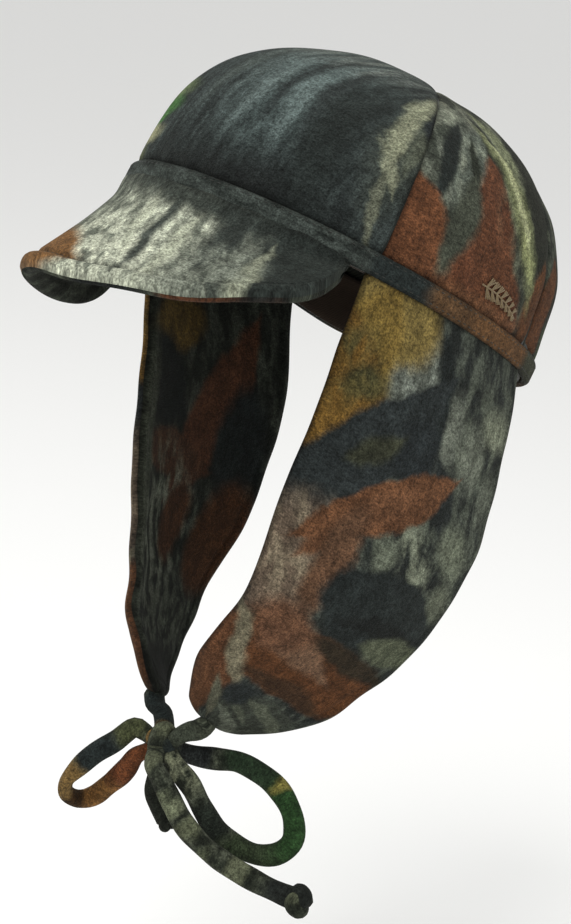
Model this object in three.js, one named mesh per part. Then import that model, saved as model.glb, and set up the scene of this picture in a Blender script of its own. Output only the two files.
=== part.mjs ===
// Trapper hat: five-panel fleece crown on a headband, soft visor, two long ear flaps
// and two fleece ties knotted in a bow under the chin.
// Millimetres, +Z up, front towards -Y, the wearer's left towards +X.
// The origin is the middle of the head opening, level with the headband's lower edge.
import * as THREE from 'three';
import { mergeVertices } from 'three/addons/utils/BufferGeometryUtils.js';

// ---- Driving dimensions ----

// Head opening and crown, measured on the outside of the fleece.
const HEAD_HALF_WIDTH = 88;
const HEAD_HALF_LENGTH = 112;
const CROWN_HEIGHT = 101;
const CROWN_FULLNESS = 2.44;
const APEX_SHIFT = 3.5;
const WEARING_TILT = 25;
const HEADBAND_HEIGHT = 10;

// Cloth layers and the gaps between them.
const FLEECE = 2.4;
const LINING = 1.6;
const SWEATBAND = 1.2;
const LAYER_GAP = 0.5;
const SEAM_GAP = 0.4;

// Crown seams, in degrees from the front towards the wearer's left.
const FRONT_SEAM = 60;
const REAR_SEAM = 118;
const COLUMN_STEP = 12;
const PANEL_RISES = [9, 16, 25, 35, 45, 55, 65, 74, 81, 86, 89.6];

// Visor: a sheet sewn to the front of the headband, longest in the middle.
const VISOR_HALF_ANGLE = 54;
const VISOR_DEPTH = 69;
const VISOR_DROOP = 50.5;
const VISOR_LEFT_LIFT = 20;
const VISOR_RIGHT_SAG = 46;
const VISOR_SPREAD_LEFT = 0.55;
const VISOR_SPREAD_RIGHT = 0.31;
const VISOR_CURL = -0.15;
const VISOR_REACH = 0.985;
const VISOR_BOARD = 1.5;
const VISOR_BOARD_GAP = 0.9;
const VISOR_BOARD_MARGIN = 7;

// Ear flaps, given by the left flap's two edges from the headband to the tip, before wearing tilt.
const FLAP_FRONT_ANGLE = 58.5;
const FLAP_REAR_ANGLE = 120;
const FLAP_FRONT_EDGE = [[60, -36, -55], [50, -25, -96], [39, -9, -142], [26, 2, -176], [19, 20, -198]];
const FLAP_REAR_EDGE = [[73, 79, -50], [70, 88, -106], [61, 77, -146], [47, 62, -180], [24, 35, -203]];
const FLAP_BULGE = 7;
const FLAP_PADDING = 2;
const FLAP_PADDING_MARGIN = 5;
const FLAP_TOP_GAP = 0.5;

// Ties: soft fleece tubes. Their routes hang free, so they are given as worn.
const TIE_DIAMETER = 9;
const TIE_SIDES = 8;
const TIE_STEP = 7;
const KNOT_CENTRE = new THREE.Vector3(1, -69, -208);
const KNOT_RADIUS = 10;
const END_KNOT_RADIUS = 6.5;
const LEFT_TIE = [[15.5, -61.5, -197.5], [12, -63.8, -199.3], [8.8, -65.9, -201.8]];
const RIGHT_TIE = [[-15.5, -61, -196.5], [-10, -61.5, -198], [-5.1, -63.9, -201.3]];
const RIGHT_LOOP = [
  [-7.9, -73.7, -204.8], [-11.9, -76, -204.2], [-15.8, -82.3, -211], [-20.7, -89.1, -217.3],
  [-25.9, -93.9, -225.4], [-31, -95.8, -233.4], [-34.5, -92.4, -241.1], [-34.2, -85, -245.4],
  [-30.7, -79.1, -243.6], [-25.5, -76.4, -237.3], [-19.3, -75.5, -230.5], [-14.6, -75, -224.4],
  [-11, -74.3, -218], [-6.8, -72.6, -214.2],
];
const LEFT_LOOP = [
  [9.5, -69, -214.4], [14.3, -68.5, -217.6], [19.5, -65.4, -223.4], [25.4, -62.6, -232.1],
  [32.5, -59, -240.5], [40.8, -53.6, -245.9], [49.5, -48.2, -247.8], [56.8, -42.7, -245.6],
  [60.2, -37.7, -239.1], [56.7, -35.1, -230.9], [50.4, -34.9, -223.8], [42.8, -36.7, -218],
  [34.5, -40.8, -213.9], [25.8, -44.4, -212.1], [16.8, -48.9, -213.2], [10.1, -54.5, -213.4],
  [6.3, -60.6, -211.7],
];
const LONG_TAIL = [
  [5.8, -77.8, -213.2], [9.6, -80.1, -215.2], [13.7, -80, -218.3], [19, -77.1, -227.2],
  [25.9, -74.3, -236.4], [33.2, -70.8, -242.9], [41.7, -66.5, -248.2], [51.2, -61.2, -252.5],
  [60.8, -55.5, -256], [69.4, -50.1, -258.4], [72.6, -47.9, -259.2],
];
const SHORT_TAIL = [
  [-1.1, -65.3, -217.7], [-4.5, -63.2, -223.5], [-6.5, -63.2, -234.6], [-4.5, -61.4, -241.5],
  [-1.3, -58.8, -247.6],
];

// Size label sewn inside the back of the sweatband.
const LABEL_WIDTH = 24;
const LABEL_HEIGHT = 14;
const LABEL_THICKNESS = 0.6;

const LINING_INSET = FLEECE + LAYER_GAP;
const SWEATBAND_INSET = LINING_INSET + LINING + LAYER_GAP;

// ---- Materials ----

const cloth = (color) => new THREE.MeshStandardMaterial({ color, roughness: 0.95, metalness: 0 });
const DARK_FLEECE = cloth(0x333831);
const BROWN_FLEECE = cloth(0x56422a);
const OLIVE_FLEECE = cloth(0x444837);
const BAND_FLEECE = cloth(0x4a3f30);
const VISOR_FLEECE = cloth(0x808475);
const FLAP_FLEECE = cloth(0x5f5a40);
const LINING_CLOTH = cloth(0x1e1f18);
const PADDING_CLOTH = cloth(0xd8d6cc);
const TIE_FLEECE = cloth(0x3a3d30);
const LABEL_CLOTH = cloth(0xe4e2da);
const BOARD_PLASTIC = new THREE.MeshStandardMaterial({ color: 0x202020, roughness: 0.5, metalness: 0 });

// ---- Solids from sheets of points ----

function signedVolume(positions, index) {
  const corner = (k) => new THREE.Vector3().fromArray(positions, 3 * index[k]);
  let volume = 0;
  for (let k = 0; k < index.length; k += 3) {
    volume += corner(k).dot(corner(k + 1).cross(corner(k + 2))) / 6;
  }
  return volume;
}

// Joins two grids of points, one for each face of a cloth layer, into a closed body.
function solidBetween(outside, inside, ring = false) {
  const rows = outside.length;
  const columns = outside[0].length;
  const positions = [outside, inside].flat(2).flatMap((point) => point.toArray());
  const index = [];
  const at = (layer, row, column) => (layer * rows + row) * columns + (column % columns);
  const quad = (a, b, c, d) => index.push(a, b, c, a, c, d);
  const lastRow = rows - 1;
  const lastColumn = ring ? columns : columns - 1;
  for (let row = 0; row < lastRow; row += 1) {
    for (let column = 0; column < lastColumn; column += 1) {
      const next = column + 1;
      quad(at(0, row, column), at(0, row, next), at(0, row + 1, next), at(0, row + 1, column));
      quad(at(1, row, column), at(1, row + 1, column), at(1, row + 1, next), at(1, row, next));
    }
  }
  for (let column = 0; column < lastColumn; column += 1) {
    const next = column + 1;
    quad(at(0, 0, column), at(1, 0, column), at(1, 0, next), at(0, 0, next));
    quad(at(0, lastRow, column), at(0, lastRow, next), at(1, lastRow, next), at(1, lastRow, column));
  }
  if (!ring) {
    for (let row = 0; row < lastRow; row += 1) {
      quad(at(0, row, 0), at(0, row + 1, 0), at(1, row + 1, 0), at(1, row, 0));
      quad(at(0, row, lastColumn), at(1, row, lastColumn), at(1, row + 1, lastColumn), at(0, row + 1, lastColumn));
    }
  }
  if (signedVolume(positions, index) < 0) {
    index.reverse();
  }
  const geometry = new THREE.BufferGeometry();
  geometry.setAttribute('position', new THREE.Float32BufferAttribute(positions, 3));
  geometry.setIndex(index);
  return geometry;
}

function addMesh(group, name, geometry, material) {
  const mesh = new THREE.Mesh(geometry, material);
  mesh.name = name;
  group.add(mesh);
  return mesh;
}

function range(from, to, steps) {
  return Array.from({ length: steps + 1 }, (_, k) => from + ((to - from) * k) / steps);
}

// ---- Crown ----

// A point of the domed crown. rise is 0 at the headband's lower edge and 90 at the top.
function crownPoint(angle, rise, inset) {
  const theta = THREE.MathUtils.degToRad(angle);
  const phi = THREE.MathUtils.degToRad(rise);
  const across = Math.cos(phi) ** (2 / CROWN_FULLNESS);
  const up = Math.sin(phi) ** (2 / CROWN_FULLNESS);
  return new THREE.Vector3(
    (HEAD_HALF_WIDTH - inset) * across * Math.sin(theta),
    -(HEAD_HALF_LENGTH - inset) * across * Math.cos(theta) + (APEX_SHIFT * rise) / 90,
    (CROWN_HEIGHT - inset) * up,
  );
}

function riseAtHeight(height, inset) {
  const up = height / (CROWN_HEIGHT - inset);
  return THREE.MathUtils.radToDeg(Math.asin(up ** (CROWN_FULLNESS / 2)));
}

// One face of a crown panel between two seams, which keep half a seam gap at each side.
function panelFace(fromAngle, toAngle, heights, rises, inset) {
  const steps = Math.round((toAngle - fromAngle) / COLUMN_STEP);
  const rows = [...heights.map((height) => riseAtHeight(height, inset)), ...rises];
  return rows.map((rise) => {
    const radius = HEAD_HALF_WIDTH * Math.cos(THREE.MathUtils.degToRad(rise)) ** (2 / CROWN_FULLNESS);
    const margin = THREE.MathUtils.radToDeg(SEAM_GAP / 2 / radius);
    const angles = range(fromAngle + margin, toAngle - margin, steps);
    return angles.map((angle) => crownPoint(angle, rise, inset));
  });
}

function panelSolid(fromAngle, toAngle, heights, inset, thickness) {
  return solidBetween(
    panelFace(fromAngle, toAngle, heights, PANEL_RISES, inset),
    panelFace(fromAngle, toAngle, heights, PANEL_RISES, inset + thickness),
  );
}

function addCrownPanels(group) {
  const sectors = [
    ['front', -FRONT_SEAM, FRONT_SEAM, DARK_FLEECE],
    ['left_side', FRONT_SEAM, REAR_SEAM, BROWN_FLEECE],
    ['left_back', REAR_SEAM, 180, OLIVE_FLEECE],
    ['right_back', 180, 360 - REAR_SEAM, OLIVE_FLEECE],
    ['right_side', 360 - REAR_SEAM, 360 - FRONT_SEAM, BROWN_FLEECE],
  ];
  for (const [side, from, to, material] of sectors) {
    const outer = panelSolid(from, to, [HEADBAND_HEIGHT + SEAM_GAP], 0, FLEECE);
    addMesh(group, `crown_${side}_panel`, outer, material);
    const liningHeights = [SEAM_GAP, HEADBAND_HEIGHT + SEAM_GAP];
    const lining = panelSolid(from, to, liningHeights, LINING_INSET, LINING);
    addMesh(group, `lining_${side}_panel`, lining, LINING_CLOTH);
  }
}

function ringFace(heights, rises, inset) {
  const steps = 360 / COLUMN_STEP;
  const angles = range(0, 360, steps).slice(0, steps);
  const rows = [...heights.map((height) => riseAtHeight(height, inset)), ...rises];
  return rows.map((rise) => angles.map((angle) => crownPoint(angle, rise, inset)));
}

function addBands(group) {
  const bandHeights = [0, HEADBAND_HEIGHT];
  const headband = solidBetween(ringFace(bandHeights, [], 0), ringFace(bandHeights, [], FLEECE), true);
  addMesh(group, 'headband', headband, BAND_FLEECE);
  const sweatHeights = [SEAM_GAP, HEADBAND_HEIGHT + SEAM_GAP];
  const sweatRises = PANEL_RISES.slice(0, 1);
  const sweatband = solidBetween(
    ringFace(sweatHeights, sweatRises, SWEATBAND_INSET),
    ringFace(sweatHeights, sweatRises, SWEATBAND_INSET + SWEATBAND),
    true,
  );
  addMesh(group, 'sweatband', sweatband, LINING_CLOTH);
}

function addSizeLabel(group) {
  const halfLength = HEAD_HALF_LENGTH - SWEATBAND_INSET - SWEATBAND;
  const halfWidth = HEAD_HALF_WIDTH - SWEATBAND_INSET - SWEATBAND;
  const hollow = halfLength * (1 - Math.sqrt(1 - (LABEL_WIDTH / 2 / halfWidth) ** 2));
  const label = new THREE.BoxGeometry(LABEL_WIDTH, LABEL_THICKNESS, LABEL_HEIGHT);
  const mesh = addMesh(group, 'size_label', label, LABEL_CLOTH);
  const lean = (APEX_SHIFT * PANEL_RISES[0]) / 90;
  mesh.position.y = halfLength - hollow - LAYER_GAP - LABEL_THICKNESS - 2 * lean;
  mesh.position.z = SEAM_GAP + 2 + LABEL_HEIGHT / 2;
}

// ---- Visor ----

// The visor's upper face at one place across it, as a line of points from headband to rim.
function visorLine(across, rows, margin) {
  const turn = Math.sin((across * Math.PI) / 2);
  const theta = THREE.MathUtils.degToRad(VISOR_HALF_ANGLE * turn);
  const depth = (VISOR_DEPTH * Math.cos((across * Math.PI) / 2) ** 0.5) - margin;
  const extra = turn > 0 ? -VISOR_LEFT_LIFT : VISOR_RIGHT_SAG;
  const droop = THREE.MathUtils.degToRad(VISOR_DROOP + extra * turn ** 2);
  const heading = theta * (turn > 0 ? VISOR_SPREAD_LEFT : VISOR_SPREAD_RIGHT);
  const point = new THREE.Vector3(
    HEAD_HALF_WIDTH * Math.sin(theta),
    -HEAD_HALF_LENGTH * Math.cos(theta),
    -SEAM_GAP,
  );
  const line = [point.clone()];
  for (let row = 0; row < rows; row += 1) {
    const slope = droop * (1 + VISOR_CURL * ((row + 0.5) / rows - 0.5));
    const level = (depth / rows) * Math.cos(slope);
    point.x += level * Math.sin(heading);
    point.y -= level * Math.cos(heading);
    point.z -= (depth / rows) * Math.sin(slope);
    line.push(point.clone());
  }
  return line;
}

// A face of the visor, moved down from the upper face by a depth through the layers.
function visorFace(depthDown, margin, trimmed) {
  const rows = 5;
  const columns = range(-VISOR_REACH, VISOR_REACH, 22).slice(trimmed, 23 - trimmed);
  const lines = columns.map((across) => visorLine(across, rows, margin));
  const grid = range(0, rows, rows).map((row) => lines.map((line) => line[row]));
  const normals = faceNormals(grid);
  return grid.map((line, row) => line.map((point, column) => {
    const inward = new THREE.Vector3(-point.x, -point.y, 0).normalize();
    const under = normals[row][column].clone();
    if (under.dot(inward) < 0) {
      under.negate();
    }
    const share = Math.min(1, row / 2);
    const way = inward.lerp(under, share).normalize();
    return point.clone().addScaledVector(way, depthDown);
  }));
}

// Normals of a grid of points, from the points around each one.
function faceNormals(grid) {
  const rows = grid.length;
  const columns = grid[0].length;
  return grid.map((line, row) => line.map((_, column) => {
    const up = grid[Math.min(row + 1, rows - 1)][column].clone().sub(grid[Math.max(row - 1, 0)][column]);
    const side = line[Math.min(column + 1, columns - 1)].clone().sub(line[Math.max(column - 1, 0)]);
    return side.cross(up).normalize();
  }));
}

function addVisor(group) {
  const boardTop = FLEECE + VISOR_BOARD_GAP;
  const underTop = boardTop + VISOR_BOARD + VISOR_BOARD_GAP;
  const layers = [
    ['visor_top_cover', 0, FLEECE, 0, 0, VISOR_FLEECE],
    ['visor_board', boardTop, VISOR_BOARD, VISOR_BOARD_MARGIN, 1, BOARD_PLASTIC],
    ['visor_under_cover', underTop, FLEECE, 0, 0, LINING_CLOTH],
  ];
  for (const [name, top, thickness, margin, trimmed, material] of layers) {
    const solid = solidBetween(visorFace(top, margin, trimmed), visorFace(top + thickness, margin, trimmed));
    addMesh(group, name, solid, material);
  }
}

// ---- Ear flaps ----

function flapEdge(angle, points) {
  const theta = THREE.MathUtils.degToRad(angle);
  const start = new THREE.Vector3(
    HEAD_HALF_WIDTH * Math.sin(theta),
    -HEAD_HALF_LENGTH * Math.cos(theta),
    -FLAP_TOP_GAP,
  );
  return new THREE.CatmullRomCurve3([start, ...points.map((point) => new THREE.Vector3(...point))]);
}

// The outer face of the left flap: a ruled sheet between its edges, round at the headband.
function flapGrid(margin) {
  const rows = 12;
  const columns = 7;
  const front = flapEdge(FLAP_FRONT_ANGLE, FLAP_FRONT_EDGE);
  const rear = flapEdge(FLAP_REAR_ANGLE, FLAP_REAR_EDGE);
  const length = (front.getLength() + rear.getLength()) / 2;
  return range(margin / length, 1 - margin / length, rows).map((down) => {
    const from = front.getPoint(down);
    const to = rear.getPoint(down);
    const inset = margin / from.distanceTo(to);
    return range(inset, 1 - inset, columns).map((across) => {
      const angle = THREE.MathUtils.lerp(FLAP_FRONT_ANGLE, FLAP_REAR_ANGLE, across);
      const theta = THREE.MathUtils.degToRad(angle);
      const straight = front.getPoint(0).lerp(rear.getPoint(0), across);
      const round = new THREE.Vector3(
        HEAD_HALF_WIDTH * Math.sin(theta),
        -HEAD_HALF_LENGTH * Math.cos(theta),
        -FLAP_TOP_GAP,
      );
      const point = from.clone().lerp(to, across);
      point.addScaledVector(round.sub(straight), (1 - down) ** 1.5);
      point.x += FLAP_BULGE * 4 * across * (1 - across) * Math.sin(Math.PI * down);
      return point;
    });
  });
}

// A face of the left flap, moved in from its outer face by a depth through the layers.
function flapFace(depthIn, margin) {
  const grid = flapGrid(margin);
  const normals = faceNormals(grid);
  return grid.map((line, row) => line.map((point, column) => {
    const level = new THREE.Vector3(-point.x / HEAD_HALF_WIDTH ** 2, -point.y / HEAD_HALF_LENGTH ** 2, 0);
    level.normalize();
    const inward = normals[row][column].clone();
    if (inward.dot(level) < 0) {
      inward.negate();
    }
    const share = Math.min(1, row / 3);
    const way = level.lerp(inward, share).normalize();
    return point.clone().addScaledVector(way, depthIn);
  }));
}

function mirrored(grid) {
  return grid.map((line) => line.map((point) => new THREE.Vector3(-point.x, point.y, point.z)));
}

function addFlaps(group) {
  const paddingTop = FLEECE + LAYER_GAP;
  const liningTop = paddingTop + FLAP_PADDING + LAYER_GAP;
  const layers = [
    ['outer', 0, FLEECE, 0, FLAP_FLEECE],
    ['padding', paddingTop, FLAP_PADDING, FLAP_PADDING_MARGIN, PADDING_CLOTH],
    ['lining', liningTop, FLEECE, 0, LINING_CLOTH],
  ];
  for (const [name, top, thickness, margin, material] of layers) {
    const outside = flapFace(top, margin);
    const inside = flapFace(top + thickness, margin);
    addMesh(group, `left_flap_${name}`, solidBetween(outside, inside), material);
    addMesh(group, `right_flap_${name}`, solidBetween(mirrored(outside), mirrored(inside)), material);
  }
}

// ---- Ties and bow ----

function tieGeometry(points) {
  const path = new THREE.CatmullRomCurve3(points.map((point) => new THREE.Vector3(...point)));
  const radius = TIE_DIAMETER / 2;
  const corners = Array.from({ length: TIE_SIDES }, (_, k) => {
    const angle = (2 * Math.PI * (k + 0.5)) / TIE_SIDES;
    return new THREE.Vector2(radius * Math.cos(angle), radius * Math.sin(angle));
  });
  const steps = Math.max(2, Math.round(path.getLength() / TIE_STEP));
  const tube = new THREE.ExtrudeGeometry(new THREE.Shape(corners), { steps, extrudePath: path });
  tube.deleteAttribute('normal');
  tube.deleteAttribute('uv');
  return mergeVertices(tube, 1e-4);
}


function addTies(group) {
  const runs = {
    left_tie: LEFT_TIE,
    right_tie: RIGHT_TIE,
    bow_left_loop: LEFT_LOOP,
    bow_right_loop: RIGHT_LOOP,
    long_tail: LONG_TAIL,
    short_tail: SHORT_TAIL,
  };
  for (const [name, points] of Object.entries(runs)) {
    addMesh(group, name, tieGeometry(points), TIE_FLEECE);
  }
  const knot = addMesh(group, 'bow_knot', new THREE.SphereGeometry(KNOT_RADIUS, 14, 10), TIE_FLEECE);
  knot.position.copy(KNOT_CENTRE);
  for (const [name, points] of [['long_tail_end_knot', LONG_TAIL], ['short_tail_end_knot', SHORT_TAIL]]) {
    const end = new THREE.Vector3(...points[points.length - 1]);
    const before = new THREE.Vector3(...points[points.length - 2]);
    const way = end.clone().sub(before).normalize();
    const mesh = addMesh(group, name, new THREE.SphereGeometry(END_KNOT_RADIUS, 12, 8), TIE_FLEECE);
    mesh.position.copy(end).addScaledVector(way, END_KNOT_RADIUS + SEAM_GAP);
  }
}

// ---- Assembly ----

const hat = new THREE.Group();
const worn = new THREE.Group();
worn.rotation.x = -THREE.MathUtils.degToRad(WEARING_TILT);
hat.add(worn);
addCrownPanels(worn);
addBands(worn);
addSizeLabel(worn);
addVisor(worn);
addFlaps(worn);
addTies(hat);

export default hat;
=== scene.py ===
# %% [markdown]
# # A fleece trapper hat
#
# This lesson dresses a trapper hat that a CAD model already describes. The CAD model gives the
# frame: a crown, a visor, two ear flaps and the hinges between them. Here each plain solid is
# replaced with cloth: soft edges, seams, stitching, a printed camouflage and a fleece pile.
# We load the frame first, and keep its parts so that their boxes can be read later.

# %% Load the frame
import math
import bpy
import numpy as np
from mathutils import Matrix, Vector


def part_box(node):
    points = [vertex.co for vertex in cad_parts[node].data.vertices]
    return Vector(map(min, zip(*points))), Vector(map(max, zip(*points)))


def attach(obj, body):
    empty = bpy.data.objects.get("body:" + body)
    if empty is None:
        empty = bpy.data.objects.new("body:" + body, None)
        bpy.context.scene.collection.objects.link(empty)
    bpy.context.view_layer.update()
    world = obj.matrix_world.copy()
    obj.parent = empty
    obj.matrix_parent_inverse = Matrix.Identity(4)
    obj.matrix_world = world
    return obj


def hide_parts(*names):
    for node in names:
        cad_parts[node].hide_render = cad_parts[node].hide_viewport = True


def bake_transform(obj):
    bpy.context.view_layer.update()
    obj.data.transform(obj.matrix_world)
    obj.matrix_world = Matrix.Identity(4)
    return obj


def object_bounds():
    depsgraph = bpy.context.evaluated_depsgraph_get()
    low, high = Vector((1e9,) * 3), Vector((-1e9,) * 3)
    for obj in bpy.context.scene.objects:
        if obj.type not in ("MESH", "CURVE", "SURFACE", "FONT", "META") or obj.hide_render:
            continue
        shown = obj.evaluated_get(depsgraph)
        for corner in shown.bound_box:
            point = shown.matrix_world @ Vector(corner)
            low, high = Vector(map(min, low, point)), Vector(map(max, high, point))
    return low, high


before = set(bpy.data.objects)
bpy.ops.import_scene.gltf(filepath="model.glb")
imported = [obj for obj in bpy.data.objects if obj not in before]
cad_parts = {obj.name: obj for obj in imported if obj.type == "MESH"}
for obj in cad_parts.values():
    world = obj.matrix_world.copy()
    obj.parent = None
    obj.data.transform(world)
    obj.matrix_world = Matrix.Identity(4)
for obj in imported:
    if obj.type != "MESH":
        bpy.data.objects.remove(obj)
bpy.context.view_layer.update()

print("frame:", len(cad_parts), "parts")

# %% [markdown]
# ## The camera
#
# The hat is seen from its front left, a little above the chin. A portrait lens from over a metre
# away keeps the visor from looking too large. The camera is rolled by a few degrees, so that
# the hat leans a little.

# %% Place the camera
def aim_camera(azimuth, elevation, roll, distance, target, lens):
    turn = math.radians(azimuth)
    lift = math.radians(elevation)
    back = Vector((math.sin(turn) * math.cos(lift), -math.cos(turn) * math.cos(lift), math.sin(lift)))
    right = Vector((math.cos(turn), math.sin(turn), 0))
    up = back.cross(right)
    lean = math.radians(roll)
    right_rolled = math.cos(lean) * right + math.sin(lean) * up
    up_rolled = math.cos(lean) * up - math.sin(lean) * right
    data = bpy.data.cameras.new("camera")
    data.lens = lens
    data.clip_end = 60
    camera = bpy.data.objects.new("camera", data)
    axes = Matrix((right_rolled, up_rolled, back)).transposed().to_4x4()
    camera.matrix_world = Matrix.Translation(Vector(target) + distance * back) @ axes
    bpy.context.collection.objects.link(camera)
    bpy.context.scene.camera = camera
    return camera


camera = aim_camera(45.5, 14.3, 7.2, 1.25, (-0.0133, 0.0, -0.0855), 105.3)
print("camera at", [round(x, 3) for x in camera.location])

# %% [markdown]
# ## Working in the hat's own axes
#
# A hat is easiest to draw level, with its headband flat, and then tip back as it is worn. All
# cloth is worked out in millimetres in those level axes. `worn` tips points by the same angle as
# the frame and turns them to metres.

# %% Level axes to worn axes
MM = 0.001
TILT = math.radians(25)
rng = np.random.default_rng(7)


def worn(points):
    points = np.asarray(points, float)
    x, y, z = points[..., 0], points[..., 1], points[..., 2]
    across = y * math.cos(TILT) + z * math.sin(TILT)
    up = z * math.cos(TILT) - y * math.sin(TILT)
    return MM * np.stack([x, across, up], -1)


def metres(points):
    return MM * np.asarray(points, float)


# %% [markdown]
# ## From two sheets of points to a piece of cloth
#
# Every cloth layer here is a grid of points for its outer face, another for its inner face, and
# a strip round the border that closes the two. Writing the mesh ourselves, in place of a Solidify
# modifier, lets the two faces come together at a rolled edge. Each point also carries a place on
# the flat cloth, in units of 100 mm, so that the print lies on the cloth as it would when cut.

# %% Cloth from grids
def smoothstep(low, high, value):
    t = np.clip((value - low) / (high - low), 0, 1)
    return t * t * (3 - 2 * t)


def grid_faces(rows, columns, ring):
    count = rows * columns
    wide = columns if ring else columns - 1
    r, c = np.meshgrid(np.arange(rows - 1), np.arange(wide), indexing="ij")
    a = (r * columns + c).ravel()
    b = (r * columns + (c + 1) % columns).ravel()
    front = np.stack([a, b, b + columns, a + columns], -1)
    back = front[:, ::-1] + count
    low = np.arange(wide)
    low_next = (low + 1) % columns
    high = low + (rows - 1) * columns
    high_next = low_next + (rows - 1) * columns
    strips = [
        np.stack([low_next, low, low + count, low_next + count], -1),
        np.stack([high, high_next, high_next + count, high + count], -1),
    ]
    if not ring:
        left = np.arange(rows - 1) * columns
        right = left + columns - 1
        strips.append(np.stack([left, left + columns, left + columns + count, left + count], -1))
        strips.append(np.stack([right + columns, right, right + count, right + columns + count], -1))
    return np.concatenate([front, back] + strips)


def mesh_piece(name, points, faces, flat, material):
    mesh = bpy.data.meshes.new(name)
    mesh.from_pydata(np.asarray(points).tolist(), [], [[int(k) for k in face] for face in faces])
    layer = mesh.uv_layers.new(name="Print")
    corner = np.empty(len(mesh.loops), int)
    mesh.loops.foreach_get("vertex_index", corner)
    layer.data.foreach_set("uv", np.asarray(flat, float)[corner].astype(np.float32).ravel())
    mesh.polygons.foreach_set("use_smooth", np.ones(len(mesh.polygons), bool))
    mesh.materials.append(material)
    mesh.update()
    piece = bpy.data.objects.new(name, mesh)
    bpy.context.collection.objects.link(piece)
    return piece


def cloth(name, outside, inside, flat, material, ring=False, seam=None):
    rows, columns = outside.shape[:2]
    points = np.concatenate([outside.reshape(-1, 3), inside.reshape(-1, 3)])
    faces = grid_faces(rows, columns, ring)
    corners = points[faces]
    crossing = np.cross(corners[:, 1] - corners[:, 0], corners[:, 2] - corners[:, 0])
    volume = np.einsum("ij,ij->i", corners[:, 0], crossing).sum()
    if volume < 0:
        faces = faces[:, ::-1]
    flat = np.concatenate([flat.reshape(-1, 2)] * 2) / 100
    piece = mesh_piece(name, worn(points), faces, flat, material)
    # The Seam attribute says how much darker the colour is near seams and edges: grime, and painted shade in the seam
    # valleys.
    if seam is not None:
        seam_grime_and_shade = piece.data.attributes.new("Seam", "FLOAT", "POINT")
        seam_grime_and_shade.data.foreach_set("value", np.tile(seam.ravel(), 2).astype(np.float32))
    return piece


def grid_normals(grid, outward):
    down = np.gradient(grid, axis=0)
    side = np.gradient(grid, axis=1)
    normal = np.cross(side, down)
    normal /= np.linalg.norm(normal, axis=-1, keepdims=True) + 1e-9
    flip = np.sign(np.einsum("ijk,ijk->ij", normal, outward))
    return normal * np.where(flip == 0, 1, flip)[..., None]


# %% [markdown]
# ## Soft ripples
#
# Fleece never lies perfectly smooth. A handful of long sine waves in random directions, added
# together, gives slow swells a few centimetres apart. They depend only on the place in space, so
# two panels that meet at a seam swell together and stay joined.

# %% Slow swells in the cloth
WAVES = [(rng.normal(size=3), rng.uniform(0, 2 * math.pi)) for _ in range(7)]


def swell(points, spacing, height):
    total = np.zeros(points.shape[:-1])
    for direction, phase in WAVES:
        unit = direction / np.linalg.norm(direction)
        total += np.sin(2 * math.pi * (points @ unit) / spacing + phase)
    return height * total / math.sqrt(len(WAVES))


# %% [markdown]
# ## Materials: a printed fleece
#
# The cloth is brushed polyester fleece, printed with a woodland camouflage. Brushing raises a
# short pile, which scatters light: no gloss, a soft sheen at grazing angles, and a mottle where
# fibres lie different ways. The print is built from patches. Each patch is an ellipse on the flat
# cloth, and its edge is broken up by noise, as ink spreads in pile. Bark streaks are noise that
# is stretched along the grain. One small function adds a node with its settings and links.

# %% Colour and node helpers
def linear(code, alpha=1.0):
    channels = [int(code[k:k + 2], 16) / 255 for k in (1, 3, 5)]
    return tuple(c / 12.92 if c <= 0.04045 else ((c + 0.055) / 1.055) ** 2.4 for c in channels) + (alpha,)


def add(tree, kind, inputs=None, **settings):
    node = tree.nodes.new("ShaderNode" + kind)
    for key, value in settings.items():
        setattr(node, key, value)
    for key, value in (inputs or {}).items():
        if isinstance(value, bpy.types.NodeSocket):
            tree.links.new(value, node.inputs[key])
        else:
            node.inputs[key].default_value = value
    return node


def new_material(name, roughness, sheen, sheen_roughness, specular):
    material = bpy.data.materials.new(name)
    material.use_nodes = True
    tree = material.node_tree
    shader = tree.nodes["Principled BSDF"]
    shader.inputs["Roughness"].default_value = roughness
    shader.inputs["Sheen Weight"].default_value = sheen
    shader.inputs["Sheen Roughness"].default_value = sheen_roughness
    shader.inputs["Specular IOR Level"].default_value = specular
    return material, tree, shader


# %% [markdown]
# The pile itself is the same in every fleece piece. Fibres are far too fine to draw, so tufts of
# about 0.8 mm stand for them, with specks of 2 mm. A slower mottle of about 7 mm stands for the
# patches where the brushed pile lies one way. Near a seam the pile is flattened, and the colour is
# darker there: partly grime, partly painted shade in the seam valley. The meshes carry that as an
# attribute named Seam, from 0 to 1.

# %% The fleece pile
TUFT = 0.8
GRIT = 1.9
LIE = 7.0


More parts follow.
